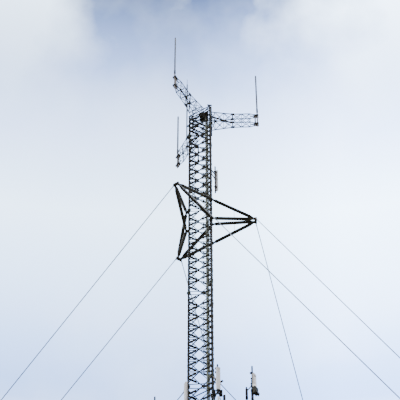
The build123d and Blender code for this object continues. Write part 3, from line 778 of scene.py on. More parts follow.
def chords(mesh, place, level):
    slab(mesh, (SHEET, -BAR_HALF, level - 0.032), (ROOT, BAR_HALF, level + 0.032), place, bevel=0.002)
    slab(mesh, (ROOT - 0.004, -BAR_HALF, level - 0.023), (ROOT + 0.030, BAR_HALF, level - 0.018), place)
    for side in (-1, 1):
        for first, last in ((ROOT - 0.004, SPLICE), (SPLICE, ARM_END)):
            start, end = corner(place, first, side, level), corner(place, last, side, level)
            beam = along(start, end) @ at((end - start).length / 2, 0, 0) @ turn(90, "Y") @ turn(90, "Z")
            plate(mesh, chord_outline, (end - start).length, beam)
        splice(mesh, place, side, level)
        for y in (0.29, 0.49):
            bolt(mesh, place @ Vector((ROOT, side * y, level)), way_of(place, 1))


# %% Whip arm frames
BRACED_ARM = "b"
BRACE_DROP = 0.11
for name, azimuth in FACE_AZIMUTHS.items():
    mesh = bmesh.new()
    place = turn(azimuth)
    for level in CHORD_LEVELS:
        chords(mesh, place, level)
    for reach in FRAMES:
        thick = 0.050 if reach == SPLICE else 0.020
        for level in CHORD_LEVELS:
            flat(mesh, corner(place, reach, -1, level), corner(place, reach, 1, level), thick, thick)
        for side in (-1, 1):
            flat(mesh, corner(place, reach, side, LOWER_CHORD), corner(place, reach, side, UPPER_CHORD),
                 POST, POST, way_of(place, 1))
    for near, far in zip((ROOT,) + FRAMES, FRAMES):
        for side in (-1, 1):
            for low, high in (CHORD_LEVELS, CHORD_LEVELS[::-1]):
                flat(mesh, corner(place, near, side, low), corner(place, far, side, high), 0.005, 0.020)
            bolt(mesh, (corner(place, near, side, LOWER_CHORD) + corner(place, far, side, UPPER_CHORD)) / 2,
                 way_of(place, 0, side), 0.022, 0.010)
        for level in CHORD_LEVELS:
            for side in (-1, 1):
                flat(mesh, corner(place, near, side, level), corner(place, far, -side, level), 0.020, 0.005)
    if name == BRACED_ARM:
        foot = LOWER_CHORD - BRACE_DROP
        flat(mesh, place @ Vector((SHEET, -0.50, foot)),
             corner(place, SPLICE - 0.05, -1, LOWER_CHORD) - upward(0.04), 0.050, 0.050)
        slab(mesh, (SHEET - 0.005, -0.545, foot - 0.05), (SHEET + 0.020, -0.445, foot + 0.05), place,
             bevel=0.003)
    piece(f"whip_frame_{name}", mesh, "mast_steel", f"whip_arm_{name}")

# %% [markdown]
# At the end of each frame heavy clamps grip the mount pipe at both chord levels, and stubs carry them from
# the last crossbar. A shorter second pipe stands just inside it, held by the same plates. The pipes are
# pale galvanised steel between dark clamps.

# %% Whip mounts
MOUNT_RADIUS = 0.030
TWIN_REACH = MOUNT_REACH - 0.095
PIPE_FOOT = LOWER_CHORD - 0.16
PIPE_TALL = WHIP_FOOT - PIPE_FOOT


def pipe_clamp(mesh, place, radius, level, reach, width, height):
    """Two jaws round an upright pipe at the place's origin, with four bolts along X."""
    for side in (-1, 1):
        slab(mesh, (side * (radius - 0.006), -width / 2, level - height / 2),
             (side * (radius + 0.016), width / 2, level + height / 2), place, bevel=0.004)
        for y in (-radius - 0.012, radius + 0.012):
            pin(mesh, place, (-reach, reach), 0.006, y, level + side * height / 4, sides=8)


for name, azimuth in FACE_AZIMUTHS.items():
    mesh = bmesh.new()
    place = turn(azimuth)
    for level in CHORD_LEVELS:
        slab(mesh, (ARM_END + 0.02, -0.018, level - 0.018), (MOUNT_REACH - 0.03, 0.018, level + 0.018), place)
        for reach in (MOUNT_REACH, TWIN_REACH):
            pipe_clamp(mesh, place @ at(reach, 0, 0), MOUNT_RADIUS, level, 0.062, 0.15, 0.10)
        for side in (-1, 1):
            flat(mesh, place @ Vector((ARM_END, side * MID_HALF, level)),
                 place @ Vector((MOUNT_REACH - 0.04, side * 0.04, level)), 0.012, 0.05)
            slab(mesh, (TWIN_REACH - 0.09, side * 0.070 - 0.004, level - 0.045),
                 (MOUNT_REACH + 0.055, side * 0.070 + 0.004, level + 0.045), place, bevel=0.003)
    piece(f"whip_clamps_{name}", mesh, "mast_steel")

# %% Mount pipes and whips
WHIP_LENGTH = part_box("whips")[1].z - WHIP_FOOT
mount_pipe = turned([(0, 0), (MOUNT_RADIUS - 0.003, 0), (MOUNT_RADIUS, 0.003), (MOUNT_RADIUS, PIPE_TALL),
                     (0, PIPE_TALL)])
whip_shape = turned([(0, 0), (0.040, 0), (0.042, 0.004), (0.042, 0.30), (0.040, 0.322), (0.037, 0.335),
                     (0.037, 1.4), (0.035, 1.42), (0.035, WHIP_LENGTH - 0.05), (0.029, WHIP_LENGTH - 0.015),
                     (0.010, WHIP_LENGTH - 0.002), (0, WHIP_LENGTH)], 20)
pipes, rods = bmesh.new(), bmesh.new()
for azimuth in FACE_AZIMUTHS.values():
    place = turn(azimuth)
    stamp(pipes, mount_pipe, place @ at(MOUNT_REACH, 0, PIPE_FOOT))
    post(pipes, place @ Vector((TWIN_REACH, 0, 0)), LOWER_CHORD - 0.11, UPPER_CHORD + 0.12, MOUNT_RADIUS,
         sides=24)
    stamp(rods, whip_shape, place @ at(MOUNT_REACH, 0, WHIP_FOOT))
piece("whip_pipes", pipes, "mast_steel", material="galvanised")
piece("whip_rods", rods, "whip_shell", "whips")

# %% [markdown]
# ## Lightning pole
# A tube clamped outside the left leg rises well above the mast and ends in a thin pointed rod. Two clamps
# with spacer blocks hold it off the leg, and a reducing collar joins rod and tube.

# %% Lightning pole
POLE_REACH = 0.692
POLE_RADIUS = 0.027
POLE_TUBE = 4.55
ROD_RADIUS = 0.010
SPACER = (LEG_CIRCLE + LEG_RADIUS - 0.002, POLE_REACH - 0.0205)
pole_low, pole_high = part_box("lightning_pole")
total = pole_high.z - pole_low.z
tube = [(0, 0), (POLE_RADIUS - 0.002, 0), (POLE_RADIUS, 0.002), (POLE_RADIUS, 2.2), (0.0295, 2.204),
        (0.0295, 2.30), (POLE_RADIUS, 2.304), (POLE_RADIUS, POLE_TUBE - 0.05), (0.014, POLE_TUBE)]
tip = [(ROD_RADIUS, POLE_TUBE + 0.004), (ROD_RADIUS, total - 0.06), (0.0015, total - 0.002), (0, total)]
pole_shape = turned(tube + tip, 20)
mesh = bmesh.new()
place = turn(180)
stamp(mesh, pole_shape, place @ at(POLE_REACH, 0, pole_low.z))
for rise in (0.12, 1.05):
    level = pole_low.z + rise
    slab(mesh, (SPACER[0], -0.022, level - 0.03), (SPACER[1], 0.022, level + 0.03), place, bevel=0.004)
    for reach, radius in ((LEG_CIRCLE, LEG_RADIUS), (POLE_REACH, POLE_RADIUS)):
        stamp(mesh, band(radius, 0.005, 0.02), place @ at(reach, 0, level))
    for side in (-1, 1):
        for z in (-0.012, 0.012):
            bolt(mesh, place @ Vector((sum(SPACER) / 2, side * 0.022, level + z)), (0, -side, 0), 0.018)
piece("lightning_tube", mesh, "mast_steel", "lightning_pole")

# %% [markdown]
# ## Details at the top
# A small grating platform closes the top of the mast next to the ladder, on two bars that lie across the
# bracing. A T-shaped bracket stands on the leg nearest to the camera, and an upright pipe with an elbow is
# clamped to the bracing of the near face, ready for an antenna.

# %% Platform
DECK = MAST_TOP - 0.085
GRATING_PITCH = 0.0455
mesh = bmesh.new()
slab(mesh, (-0.15, -0.27, DECK), (0.22, 0.16, DECK + 0.012), bevel=0.002)
for i in range(9):
    x = -0.15 + i * GRATING_PITCH
    slab(mesh, (x, -0.27, DECK - 0.035), (x + 0.006, 0.16, DECK))
for y in (-0.27, 0.15):
    slab(mesh, (-0.16, y, DECK - 0.05), (0.23, y + 0.010, DECK + 0.02))
piece("top_platform", mesh, "mast_steel", material="brown_steel")

# %% Platform bars, bracket and spare pipe
SPARE_FOOT = 32.02
SPARE_HEAD = 33.02
SPARE_RADIUS = 0.027
mesh = bmesh.new()
for azimuth in (-120, 120):
    slab(mesh, (FACE_INSET - 0.03, -0.46, DECK - 0.030), (FACE_INSET, 0.46, DECK + 0.008), turn(azimuth),
         bevel=0.002)
for y in (-0.20, 0.09):
    slab(mesh, (-0.40 + abs(y), y - 0.015, DECK - 0.065), (FACE_INSET + 0.036, y + 0.015, DECK - 0.035))
leg_head = turn(-60) @ Vector((LEG_CIRCLE, 0, MAST_TOP))
rod(mesh, leg_head - Vector((0.012, 0, 0.01)), leg_head + Vector((-0.012, 0, 0.115)), 0.016)
rod(mesh, leg_head + Vector((-0.10, 0, 0.150)), leg_head + Vector((0.085, 0, 0.100)), 0.032, sides=20)
place = turn(-120)
spare = place @ Vector((SHEET + 0.060, -0.008, 0))
post(mesh, spare, SPARE_FOOT, SPARE_HEAD, SPARE_RADIUS)
rod(mesh, spare + Vector((0.004, 0, SPARE_HEAD - 0.02)), spare + Vector((-0.085, 0.02, SPARE_HEAD + 0.015)),
    SPARE_RADIUS)
first_bar = BASE + 4 * SECTION + MARGIN + PANEL / 2
for z in (SPARE_FOOT + 0.28, SPARE_HEAD - 0.10):
    level = first_bar + round((z - first_bar) / PANEL) * PANEL
    slab(mesh, (SHEET + 0.006, -0.05, level - 0.03), (SHEET + 0.050, 0.035, level + 0.03), place, bevel=0.003)
post(mesh, spare, SPARE_FOOT - 0.05, SPARE_FOOT + 0.04, 0.045)
piece("top_fittings", mesh, "mast_steel")

# %% [markdown]
# ## Pipes and antenna covers
# A panel antenna is a long moulded cover with a rounded front, a foot cap with connectors, and a tilt
# bracket at each end that clamps to its pipe. The covers are boxes with their front edges beveled in
# several steps. The brackets are cut plates on both sides of an arm, with a clamp round the pipe. Each spot
# below gives a pipe's place, the azimuths of its panel and its leg, the level of its head and its length,
# the panel's drop and height, and its struts' drops.

# %% Antenna pipes
PIPE_RADIUS = 0.030
BOX_BACK = 0.060
PANEL_HALF = 0.075
PANEL_DEEP = 0.075
PANEL_FRONT = BOX_BACK + PANEL_DEEP
STRUT = 0.036


def polar(radius, azimuth):
    return Vector((radius * cos(radians(azimuth)), radius * sin(radians(azimuth)), 0))


def beside(azimuth, away, way):
    return polar(LEG_CIRCLE, azimuth) + polar(away, way)


def standing(place, level, facing):
    """Place on an upright pipe, at a level and turned to an azimuth."""
    return Matrix.Translation(place + upward(level)) @ turn(facing)


def from_leg(azimuth, place):
    """Centre of a leg, and the level way from it to a place."""
    root = polar(LEG_CIRCLE, azimuth)
    return root, (place - root).normalized()


LEG_SPOTS = {
    "upper": (beside(60, 0.363, 60), 60, 60, TOP_JOINT - 1.2, 1.99, 0.230, 1.460, (0.63, 0.94)),
    "near": (beside(-60, 0.63, -72), -75, -60, LOWER_JOINT - 0.20, 1.65, 0.300, 1.170, (0.55, 1.45)),
    "side": (beside(180, 0.19, -90), -150, 180, LOWER_JOINT + 0.05, 1.65, 0.160, 1.170, (0.379, 1.379)),
}
mesh, braces = bmesh.new(), bmesh.new()
for place, facing, azimuth, head, length, drop, tall, struts in LEG_SPOTS.values():
    pipe = turned([(0, 0), (PIPE_RADIUS - 0.003, 0), (PIPE_RADIUS, 0.003), (PIPE_RADIUS, length - 0.003),
                   (PIPE_RADIUS - 0.003, length), (0, length)])
    stamp(mesh, pipe, standing(place, head - length, 0))
    root, out = from_leg(azimuth, place)
    across = Vector((-out.y, out.x, 0))
    for strut in struts:
        level = upward(head - strut)
        flat(braces, root + out * LEG_RADIUS + level, place + level - out * 0.02, STRUT, STRUT)
        for centre, radius in ((root + level, LEG_RADIUS), (place + level, PIPE_RADIUS)):
            stamp(braces, band(radius, 0.007, 0.022), Matrix.Translation(centre))
            for side in (-1, 1):
                spot = centre + across * side * (radius + 0.012)
                rod(braces, spot - out * 0.05, spot + out * 0.05, 0.006, sides=8)
piece("antenna_pipes", mesh, "mast_steel", "antenna_mounts", material="pipe_steel")
piece("antenna_struts", braces, "mast_steel")


# %% Antenna covers
def cover(half, deep, tall):
    """Box with its two upright front edges rounded."""
    mesh = bmesh.new()
    size = Matrix.Diagonal((deep, half * 2, tall, 1.0))
    bmesh.ops.create_cube(mesh, size=1.0, matrix=at(BOX_BACK + deep / 2, 0, tall / 2) @ size)
    front = [edge for edge in mesh.edges if all(v.co.x > BOX_BACK + deep / 2 for v in edge.verts)
             and abs(edge.verts[0].co.z - edge.verts[1].co.z) > tall / 2]
    soften(mesh, front, min(half, deep) * 0.42, 5)
    return settled(mesh, "cover")


def cover_piece(name, spots, half, deep, slot, *stands_for, material=None):
    mesh = bmesh.new()
    for place, tall in spots:
        stamp(mesh, cover(half, deep, tall), place)
    rim = piece(name, mesh, slot, *stands_for, material=material).modifiers.new("rim", "BEVEL")
    rim.width = 0.004
    rim.segments = 2
    rim.limit_method = "ANGLE"
    rim.angle_limit = radians(50)


SECTORS = ((Vector((1.698, -0.770, 0)), -60, -40), (Vector((-1.780, 0.520, 0)), 180, 164),
           (Vector((0.650, 1.785, 0)), 60, 70))
SECTOR_HEAD = LOWER_JOINT + 0.09
SECTOR_PANEL_TALL = 0.715
SECTOR_PANEL_HEAD = SECTOR_HEAD - 0.54
SECTOR_PANEL_FOOT = SECTOR_PANEL_HEAD - SECTOR_PANEL_TALL
panel_spots = [(standing(place, head - drop - tall, facing), tall)
               for place, facing, azimuth, head, length, drop, tall, struts in LEG_SPOTS.values()]
panel_spots += [(standing(place, SECTOR_PANEL_FOOT, facing), SECTOR_PANEL_TALL)
                for place, azimuth, facing in SECTORS]
cover_piece("antenna_covers", panel_spots, PANEL_HALF, PANEL_DEEP, "panel_shell", "panel_antennas")

# %% End caps, connectors and tilt brackets
mesh, caps = bmesh.new(), bmesh.new()
for place, tall in panel_spots:
    for z in (-0.012, tall - 0.004):
        slab(caps, (BOX_BACK - 0.004, -PANEL_HALF - 0.002, z),
             (BOX_BACK + PANEL_DEEP * 0.86, PANEL_HALF + 0.002, z + 0.016), place, bevel=0.004)
    for y in (-0.045, -0.015, 0.015, 0.045):
        spot = place @ Vector((BOX_BACK + 0.03, y, -0.012))
        post(mesh, spot, 0, -0.05, 0.011, sides=12)
        post(mesh, spot, -0.02, -0.035, 0.015, sides=6)
    for rise in (0.16, tall - 0.16):
        for y in (-0.030, 0.030):
            slab(mesh, (0.018, y - 0.003, rise - 0.025), (BOX_BACK + 0.004, y + 0.003, rise + 0.025), place)
        slab(mesh, (BOX_BACK - 0.006, -0.05, rise - 0.04), (BOX_BACK, 0.05, rise + 0.04), place, bevel=0.002)
        pipe_clamp(mesh, place, PIPE_RADIUS, rise, 0.055, 0.095, 0.055)
        for y in (-0.04, 0.04):
            bolt(mesh, place @ Vector((BOX_BACK - 0.006, y, rise + 0.03)), way_of(place, -1), 0.018)
piece("antenna_caps", caps, "panel_shell", material="cap_shell")
piece("antenna_brackets", mesh, "mast_steel")

# %% [markdown]
# ## Sector arms and radio units
# Below the lower guys, two booms run from each leg to an antenna pipe. Each pipe carries a panel and a
# finned radio unit, and a shorter pipe nearer to the mast carries a slim filter. The booms are square tubes
# with end plates that clamp to the legs.

# %% Sector arms
BOOM_LEVELS = (LOWER_JOINT - 1.996, LOWER_JOINT - 2.329)
BOOM_HALF = 0.03
END_PLATE_HALF = 0.075
SECTOR_PIPE = 2.6
INNER_HEAD = BOOM_LEVELS[0] + 0.95
INNER_FOOT = BOOM_LEVELS[1] - 0.12
INNER_GAP = 0.22
pipes, mesh = bmesh.new(), bmesh.new()
inner_places = []
for place, azimuth, facing in SECTORS:
    root, out = from_leg(azimuth, place)
    inner = place - out * INNER_GAP
    inner_places.append(inner)
    for spot, foot, head in ((place, SECTOR_HEAD - SECTOR_PIPE, SECTOR_HEAD),
                             (inner, INNER_FOOT, INNER_HEAD)):
        post(pipes, spot, foot, head, PIPE_RADIUS, sides=24)
        post(pipes, spot, head, head + 0.006, PIPE_RADIUS, 0.022, sides=24)
        for level in BOOM_LEVELS:
            pipe_clamp(mesh, standing(spot, 0, 90 + azimuth), PIPE_RADIUS, level, 0.06, 0.10, 0.075)
    for level in BOOM_LEVELS:
        start, end = root + out * (LEG_RADIUS + 0.004) + upward(level), place + out * 0.035 + upward(level)
        boom = along(start, end)
        slab(mesh, (0, -BOOM_HALF, -BOOM_HALF), ((end - start).length, BOOM_HALF, BOOM_HALF), boom,
             bevel=0.004)
        for near, far in ((0, 0.012), (-0.088, -0.078)):
            slab(mesh, (near, -END_PLATE_HALF, -END_PLATE_HALF), (far, END_PLATE_HALF, END_PLATE_HALF), boom,
                 bevel=0.003)
        for y, z in rectangle(0.055, 0.055):
            pin(mesh, boom, (-0.10, 0.03), 0.008, y, z, sides=8)
    flat(mesh, root + out * 0.3 + upward(BOOM_LEVELS[1]), root + out + upward(BOOM_LEVELS[0]), 0.008, 0.04)
    flat(mesh, inner + upward(INNER_HEAD - 0.22), place + upward(INNER_HEAD + 0.09), 0.008, 0.045)
piece("sector_pipes", pipes, "mast_steel", "sector_arms", material="pipe_steel")
piece("sector_booms", mesh, "mast_steel")

# %% Radio units with their fins
RADIO_TALL = 0.340
RADIO_HALF = 0.090
RADIO_DEEP = 0.120
RADIO_FRONT = BOX_BACK + RADIO_DEEP
RADIO_FOOT = SECTOR_PANEL_FOOT - 0.06 - RADIO_TALL
FILTER_TALL = 0.44
FILTER_HALF = 0.045
FILTER_DEEP = 0.090
FILTER_FOOT = INNER_HEAD - 0.25 - FILTER_TALL
FILTER_TURN = -50
FIN_PITCH = 0.0165
radio_spots = [standing(place, RADIO_FOOT, facing) for place, azimuth, facing in SECTORS]
filter_spots = [standing(inner, FILTER_FOOT, facing + FILTER_TURN)
                for inner, (place, azimuth, facing) in zip(inner_places, SECTORS)]
behind_fins = at(0.03, 0, 0) @ Matrix.Diagonal((0.75, 1, 1, 1))
cover_piece("radio_bodies", [(spot @ behind_fins, RADIO_TALL - 0.06) for spot in radio_spots],
            RADIO_HALF, RADIO_DEEP, "radio_shell", "radio_units")
cover_piece("filter_bodies", [(spot, FILTER_TALL) for spot in filter_spots], FILTER_HALF, FILTER_DEEP,
            "radio_shell", material="radio_cap")
mesh, fins = bmesh.new(), bmesh.new()
for spot in radio_spots:
    slab(mesh, (BOX_BACK, -RADIO_HALF, RADIO_TALL - 0.062), (RADIO_FRONT, RADIO_HALF, RADIO_TALL), spot,
         bevel=0.006)
    for i in range(11):
        y = (i - 5) * FIN_PITCH
        slab(fins, (RADIO_FRONT - 0.032, y - 0.0025, 0.012), (RADIO_FRONT, y + 0.0025, RADIO_TALL - 0.07),
             spot)
    slab(mesh, (BOX_BACK + 0.01, -RADIO_HALF + 0.01, -0.02), (RADIO_FRONT - 0.03, RADIO_HALF - 0.01, 0.002),
         spot, bevel=0.004)
    for y in (-0.06, -0.02, 0.02, 0.06):
        post(mesh, spot @ Vector((BOX_BACK + 0.045, y, -0.02)), 0, -0.045, 0.011, sides=12)
for spots, tall, half in ((radio_spots, RADIO_TALL, 0.07), (filter_spots, FILTER_TALL, 0.04)):
    for spot in spots:
        for rise in (0.09, tall - 0.09):
            slab(mesh, (0.020, -0.02, rise - 0.02), (BOX_BACK + 0.02, 0.02, rise + 0.02), spot)
            slab(mesh, (BOX_BACK - 0.004, -half, rise - 0.03), (BOX_BACK + 0.006, half, rise + 0.03), spot,
                 bevel=0.002)
            pipe_clamp(mesh, spot, PIPE_RADIUS, rise, 0.05, 0.09, 0.05)
piece("radio_fins", fins, "radio_shell")
piece("radio_caps", mesh, "radio_shell", material="radio_cap")

# %% [markdown]
# ## Small equipment
# The photograph shows more small boxes around the antennas than a plain mast would have. Each sector pipe
# has a bracket above its panel, a junction box at the foot of the radio unit and a cable strapped down its
# side, and two slim boxes stand on each upper boom. Two small units hang under the panel nearest to the
# camera.

# %% Boxes, brackets and strapped cables
STRAPPED = ((-0.047, 16.83), (-0.071, 16.30))
STRAP_LEVELS = (15.30, 15.75, 16.20, 16.60)
dark, pale, straps = bmesh.new(), bmesh.new(), bmesh.new()
for (place, azimuth, facing), spot in zip(SECTORS, radio_spots):
    stand = standing(place, 0, facing)
    slab(straps, (-0.085, -0.030, SECTOR_PANEL_HEAD + 0.13), (0.034, 0.030, SECTOR_PANEL_HEAD + 0.19),
         stand @ turn(40), bevel=0.004)
    flat(straps, place + upward(SECTOR_PANEL_HEAD + 0.15),
         stand @ Vector((0.10, 0, SECTOR_PANEL_HEAD - 0.01)), 0.05, 0.012)
    knob = stand @ Vector((PANEL_FRONT - 0.004, -0.022, SECTOR_PANEL_HEAD - 0.15))
    rod(straps, knob, knob + way_of(stand, 0.022), 0.024)
    slab(pale, (BOX_BACK - 0.003, -PANEL_HALF - 0.003, SECTOR_PANEL_FOOT),
         (PANEL_FRONT + 0.003, PANEL_HALF + 0.003, SECTOR_PANEL_FOOT + 0.11), stand, bevel=0.012)
    slab(dark, (0.13, -0.02, -0.035), (0.215, 0.115, 0.075), spot, bevel=0.008)
    flat(dark, spot @ Vector((0.16, 0.04, -0.03)), spot @ Vector((0.20, 0.07, -0.12)), 0.03, 0.03)
    for y, top in STRAPPED:
        post(dark, stand @ Vector((-0.012, y, 0)), SECTOR_HEAD - 2.55, top, 0.012, sides=10)
    for z in STRAP_LEVELS:
        slab(straps, (-0.036, -0.086, z - 0.012), (0.036, 0.036, z + 0.012), stand, bevel=0.003)
    root, out = from_leg(azimuth, place)
    for away, half, tall, mesh in ((0.425, 0.045, 0.69, dark), (0.22, 0.035, 0.66, pale)):
        start = root + out * away + upward(BOOM_LEVELS[0] + BOOM_HALF)
        seat = along(start, start + out)
        slab(straps, (-half - 0.015, -0.045, -0.002), (half + 0.015, 0.045, 0.012), seat, bevel=0.002)
        slab(mesh, (-half, -0.035, 0.010), (half, 0.035, tall), seat, bevel=0.008)
        for x in (-half / 2, half / 2):
            post(straps, seat @ Vector((x, 0, 0)), -0.09, 0.02, 0.010, sides=10)

# %% Units under the near panel
UNIT_FOOT = 15.70
unit = standing(LEG_SPOTS["near"][0], UNIT_FOOT, 0)
for x in (-0.135, 0.105):
    slab(dark, (x - 0.055, 0.035, 0), (x + 0.060, 0.125, 0.285), unit, bevel=0.008)
    for i in range(5):
        fin = x - 0.045 + i * 0.022
        slab(dark, (fin, 0.020, 0.02), (fin + 0.005, 0.04, 0.26), unit)
    post(dark, unit @ Vector((x, 0.08, 0)), -0.06, 0.01, 0.013, sides=10)
for z in (0.06, 0.23):
    slab(straps, (-0.19, 0.026, z - 0.022), (0.165, 0.040, z + 0.022), unit, bevel=0.003)
    slab(straps, (-0.05, -0.045, z - 0.03), (0.05, 0.045, z + 0.03), unit, bevel=0.004)
for z in (1.44, 1.22):
    slab(straps, (-0.095, -0.03, z - 0.03), (0.035, 0.03, z + 0.03), unit, bevel=0.006)
flat(straps, unit @ Vector((0.02, 0, 0.57)), unit @ Vector((0.185, -0.05, 0.68)), 0.05, 0.05)
slab(straps, (-0.04, -0.04, 0.54), (0.04, 0.04, 0.61), unit, bevel=0.004)
piece("equipment_boxes", dark, "radio_shell", material="radio_cap")
piece("pale_boxes", pale, "panel_shell", material="cap_shell")
piece("equipment_brackets", straps, "mast_steel")

# %% [markdown]
# ## Guys
# Nine taut strands hold the mast. Each ends at the top in a turned socket with a clevis and pin, and at the
# foot in a grip, a turnbuckle and a shackle on its anchor. The turnbuckle is an open frame: two bars
# between two nuts, with a threaded rod into each end. From each upper anchor beam two guys go up to the
# tips of two torsion arms, and from each lower anchor one goes up to the lug on its leg.

# %% Guys with their ends
GUY_RADIUS = 0.016
UPPER_ANCHOR = (13.61, 1.173)
LOWER_ANCHOR = (9.3, 0.0)
BEAM_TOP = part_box("anchor_blocks")[1].z
HEAD_RISE = 0.355
NUTS_AND_RODS = ((-0.66, -0.63, 0.026, 8), (-0.09, -0.06, 0.026, 8), (-0.80, -0.46, 0.011, 12),
                 (-0.28, 0.01, 0.011, 12))
socket = turned([(0, 0.03), (0.020, 0.03), (0.022, 0.05), (0.022, 0.15), (0.014, 0.27), (0, 0.27)], 20)
grip = turned([(0, 0), (0.0165, 0.0), (0.0185, 0.02), (0.0185, 0.42), (0.014, 0.46), (0, 0.46)], 16)


def guy_line(azimuth, side):
    """Top and ground end of a guy over a leg's azimuth; side 0 is the lower guy."""
    if side:
        top = turn(azimuth + side * 60) @ Vector((ARM_REACH, -side * CROSSBAR_GUY, ARM_CENTRE))
    else:
        top = turn(azimuth) @ Vector((LUG_REACH, 0, GUY_LUG_LEVEL))
    reach, aside = UPPER_ANCHOR if side else LOWER_ANCHOR
    return top, turn(azimuth) @ Vector((reach, side * aside, BEAM_TOP))


def clevis(mesh, place, gap, half, low, high, pin_radius, pin_level=0):
    """Two cheeks with a pin through them."""
    for side in (-1, 1):
        slab(mesh, (side * gap, -half, low), (side * (gap + 0.008), half, high), place, bevel=0.002)
    pin(mesh, place, (-0.035, 0.035), pin_radius, z=pin_level)


def guy(strand, ends, top, ground):
    way = (ground - top).normalized()
    length = (ground - way * HEAD_RISE - top).length
    lie = aim(top, way)
    rod(strand, lie @ upward(0.2), lie @ upward(length - 0.72), GUY_RADIUS, sides=10)
    stamp(ends, socket, lie)
    clevis(ends, lie, 0.014, 0.02, -0.03, 0.08, 0.011)
    stamp(ends, grip, lie @ at(0, 0, length - 1.22))
    for side in (-1, 1):
        slab(ends, (side * 0.014, -0.010, length - 0.65), (side * 0.024, 0.010, length - 0.07), lie)
    for low, high, radius, sides in NUTS_AND_RODS:
        rod(ends, lie @ upward(length + low), lie @ upward(length + high), radius, sides=sides)


for label, sides in (("upper", (-1, 1)), ("lower", (0,))):
    strand, ends = bmesh.new(), bmesh.new()
    for azimuth in LEG_AZIMUTHS:
        for side in sides:
            guy(strand, ends, *guy_line(azimuth, side))
    piece(f"{label}_strands", strand, "guy_strand", f"{label}_guys", angle=50)
    piece(f"{label}_guy_ends", ends, "guy_strand", material="galvanised")

# %% [markdown]
# ## Foot of the mast
# The lowest section tapers to a hexagonal plate that rests on a pivot, so that the mast can lean a little
# in the wind without bending its foot. The legs are round tubes, the level bars and diagonals are thinner
# tubes between gusset plates, and ribs stiffen the plate. Anchor bolts hold the shoe to the plinth.

# %% Tapered section
PIVOT_TOP = 0.40
FOOT_THICK = 0.03
FOOT_HALF = 0.235
FOOT_RADIUS = 0.130
TAPER_BAYS = 5
TAPER_LOW = PIVOT_TOP + FOOT_THICK / 2
TAPER_HIGH = BASE - FLANGE_THICK / 2
BAY = (TAPER_HIGH - TAPER_LOW) / TAPER_BAYS


def taper_point(azimuth, z):
    share = (z - TAPER_LOW) / (TAPER_HIGH - TAPER_LOW)
    return turn(azimuth) @ Vector((FOOT_RADIUS + (LEG_CIRCLE - FOOT_RADIUS) * share, 0, z))


def hexagon(radius, level):
    """New mesh with a softened six-sided plate in it."""
    mesh = bmesh.new()
    bmesh.ops.create_cone(mesh, cap_ends=True, segments=6, radius1=radius, radius2=radius, depth=FOOT_THICK,
                          matrix=at(0, 0, level) @ turn(30))
    soften(mesh, mesh.edges[:], 0.004)
    return mesh


def level_bar(mesh, here, beyond):
    """Tube between two legs, with a bolted gusset at both ends."""
    rod(mesh, here, beyond, 0.020, sides=12)
    for spot, toward in ((here, beyond), (beyond, here)):
        joint = along(spot + (toward - spot).normalized() * 0.03, toward)
        slab(mesh, (0, -0.004, -0.09), (0.10, 0.004, 0.09), joint, bevel=0.0015)
        for x, z in ((0.03, -0.05), (0.06, 0.0), (0.03, 0.05)):
            bolt(mesh, joint @ Vector((x, 0.004, z)), way_of(joint, 0, 1), 0.020)


mesh = hexagon(FOOT_HALF, TAPER_LOW)
for azimuth in LEG_AZIMUTHS:
    rod(mesh, taper_point(azimuth, TAPER_LOW), taper_point(azimuth, TAPER_HIGH - 0.004), LEG_RADIUS, sides=24)
    foot = Matrix.Translation(turn(azimuth) @ Vector((FOOT_RADIUS, 0, TAPER_LOW + 0.012)))
    for lean in (-40, 0, 40):
        plate(mesh, ((0, 0), (0.07, 0), (0.0, 0.14)), 0.010,
              foot @ turn(azimuth + lean) @ at(0.02, 0, 0) @ turn(90, "X"))
    for i in range(1, TAPER_BAYS + 1):
        z = TAPER_LOW + i * BAY
        rod(mesh, taper_point(azimuth, z - BAY + 0.08), taper_point(azimuth + 120, z - 0.08), 0.0125,
            sides=12)
        if i < TAPER_BAYS:
            level_bar(mesh, taper_point(azimuth, z), taper_point(azimuth + 120, z))
piece("taper_frame", mesh, "mast_steel", "base_section")

# %% Shoe and its anchor bolts
SHOE_TOP = 0.33
SHOE_HALF = 0.365
SHOE_BOLTS = 0.265
mesh = hexagon(SHOE_HALF, SHOE_TOP - FOOT_THICK / 2)
stamp(mesh, turned([(0, 0.0), (0.105, 0.0), (0.105, 0.012), (0.09, 0.016), (0.09, 0.052), (0.07, 0.064),
                    (0.035, 0.070), (0, 0.071)], 32), at(0, 0, SHOE_TOP - 0.001))
for i in range(6):
    plate(mesh, ((0.085, 0), (0.26, 0), (0.085, 0.045)), 0.012,
          at(0, 0, SHOE_TOP) @ turn(60 * i + 30) @ turn(90, "X"))
    spot = turn(60 * i) @ Vector((SHOE_BOLTS, 0, SHOE_TOP))
    post(mesh, spot, 0, 0.006, 0.032, sides=20)
    bolt(mesh, spot + upward(0.006), (0, 0, 1), 0.036, 0.022)
    post(mesh, spot, 0.02, 0.06, 0.0105, sides=12)
piece("shoe", mesh, "mast_steel", "base_plate")

# %% [markdown]
# Each guy ends over a foot plate with four anchor bolts. Two ears stand on the plate, in line with the guy,
# and a hook with its own pin joins the anchor's stem to the turnbuckle.

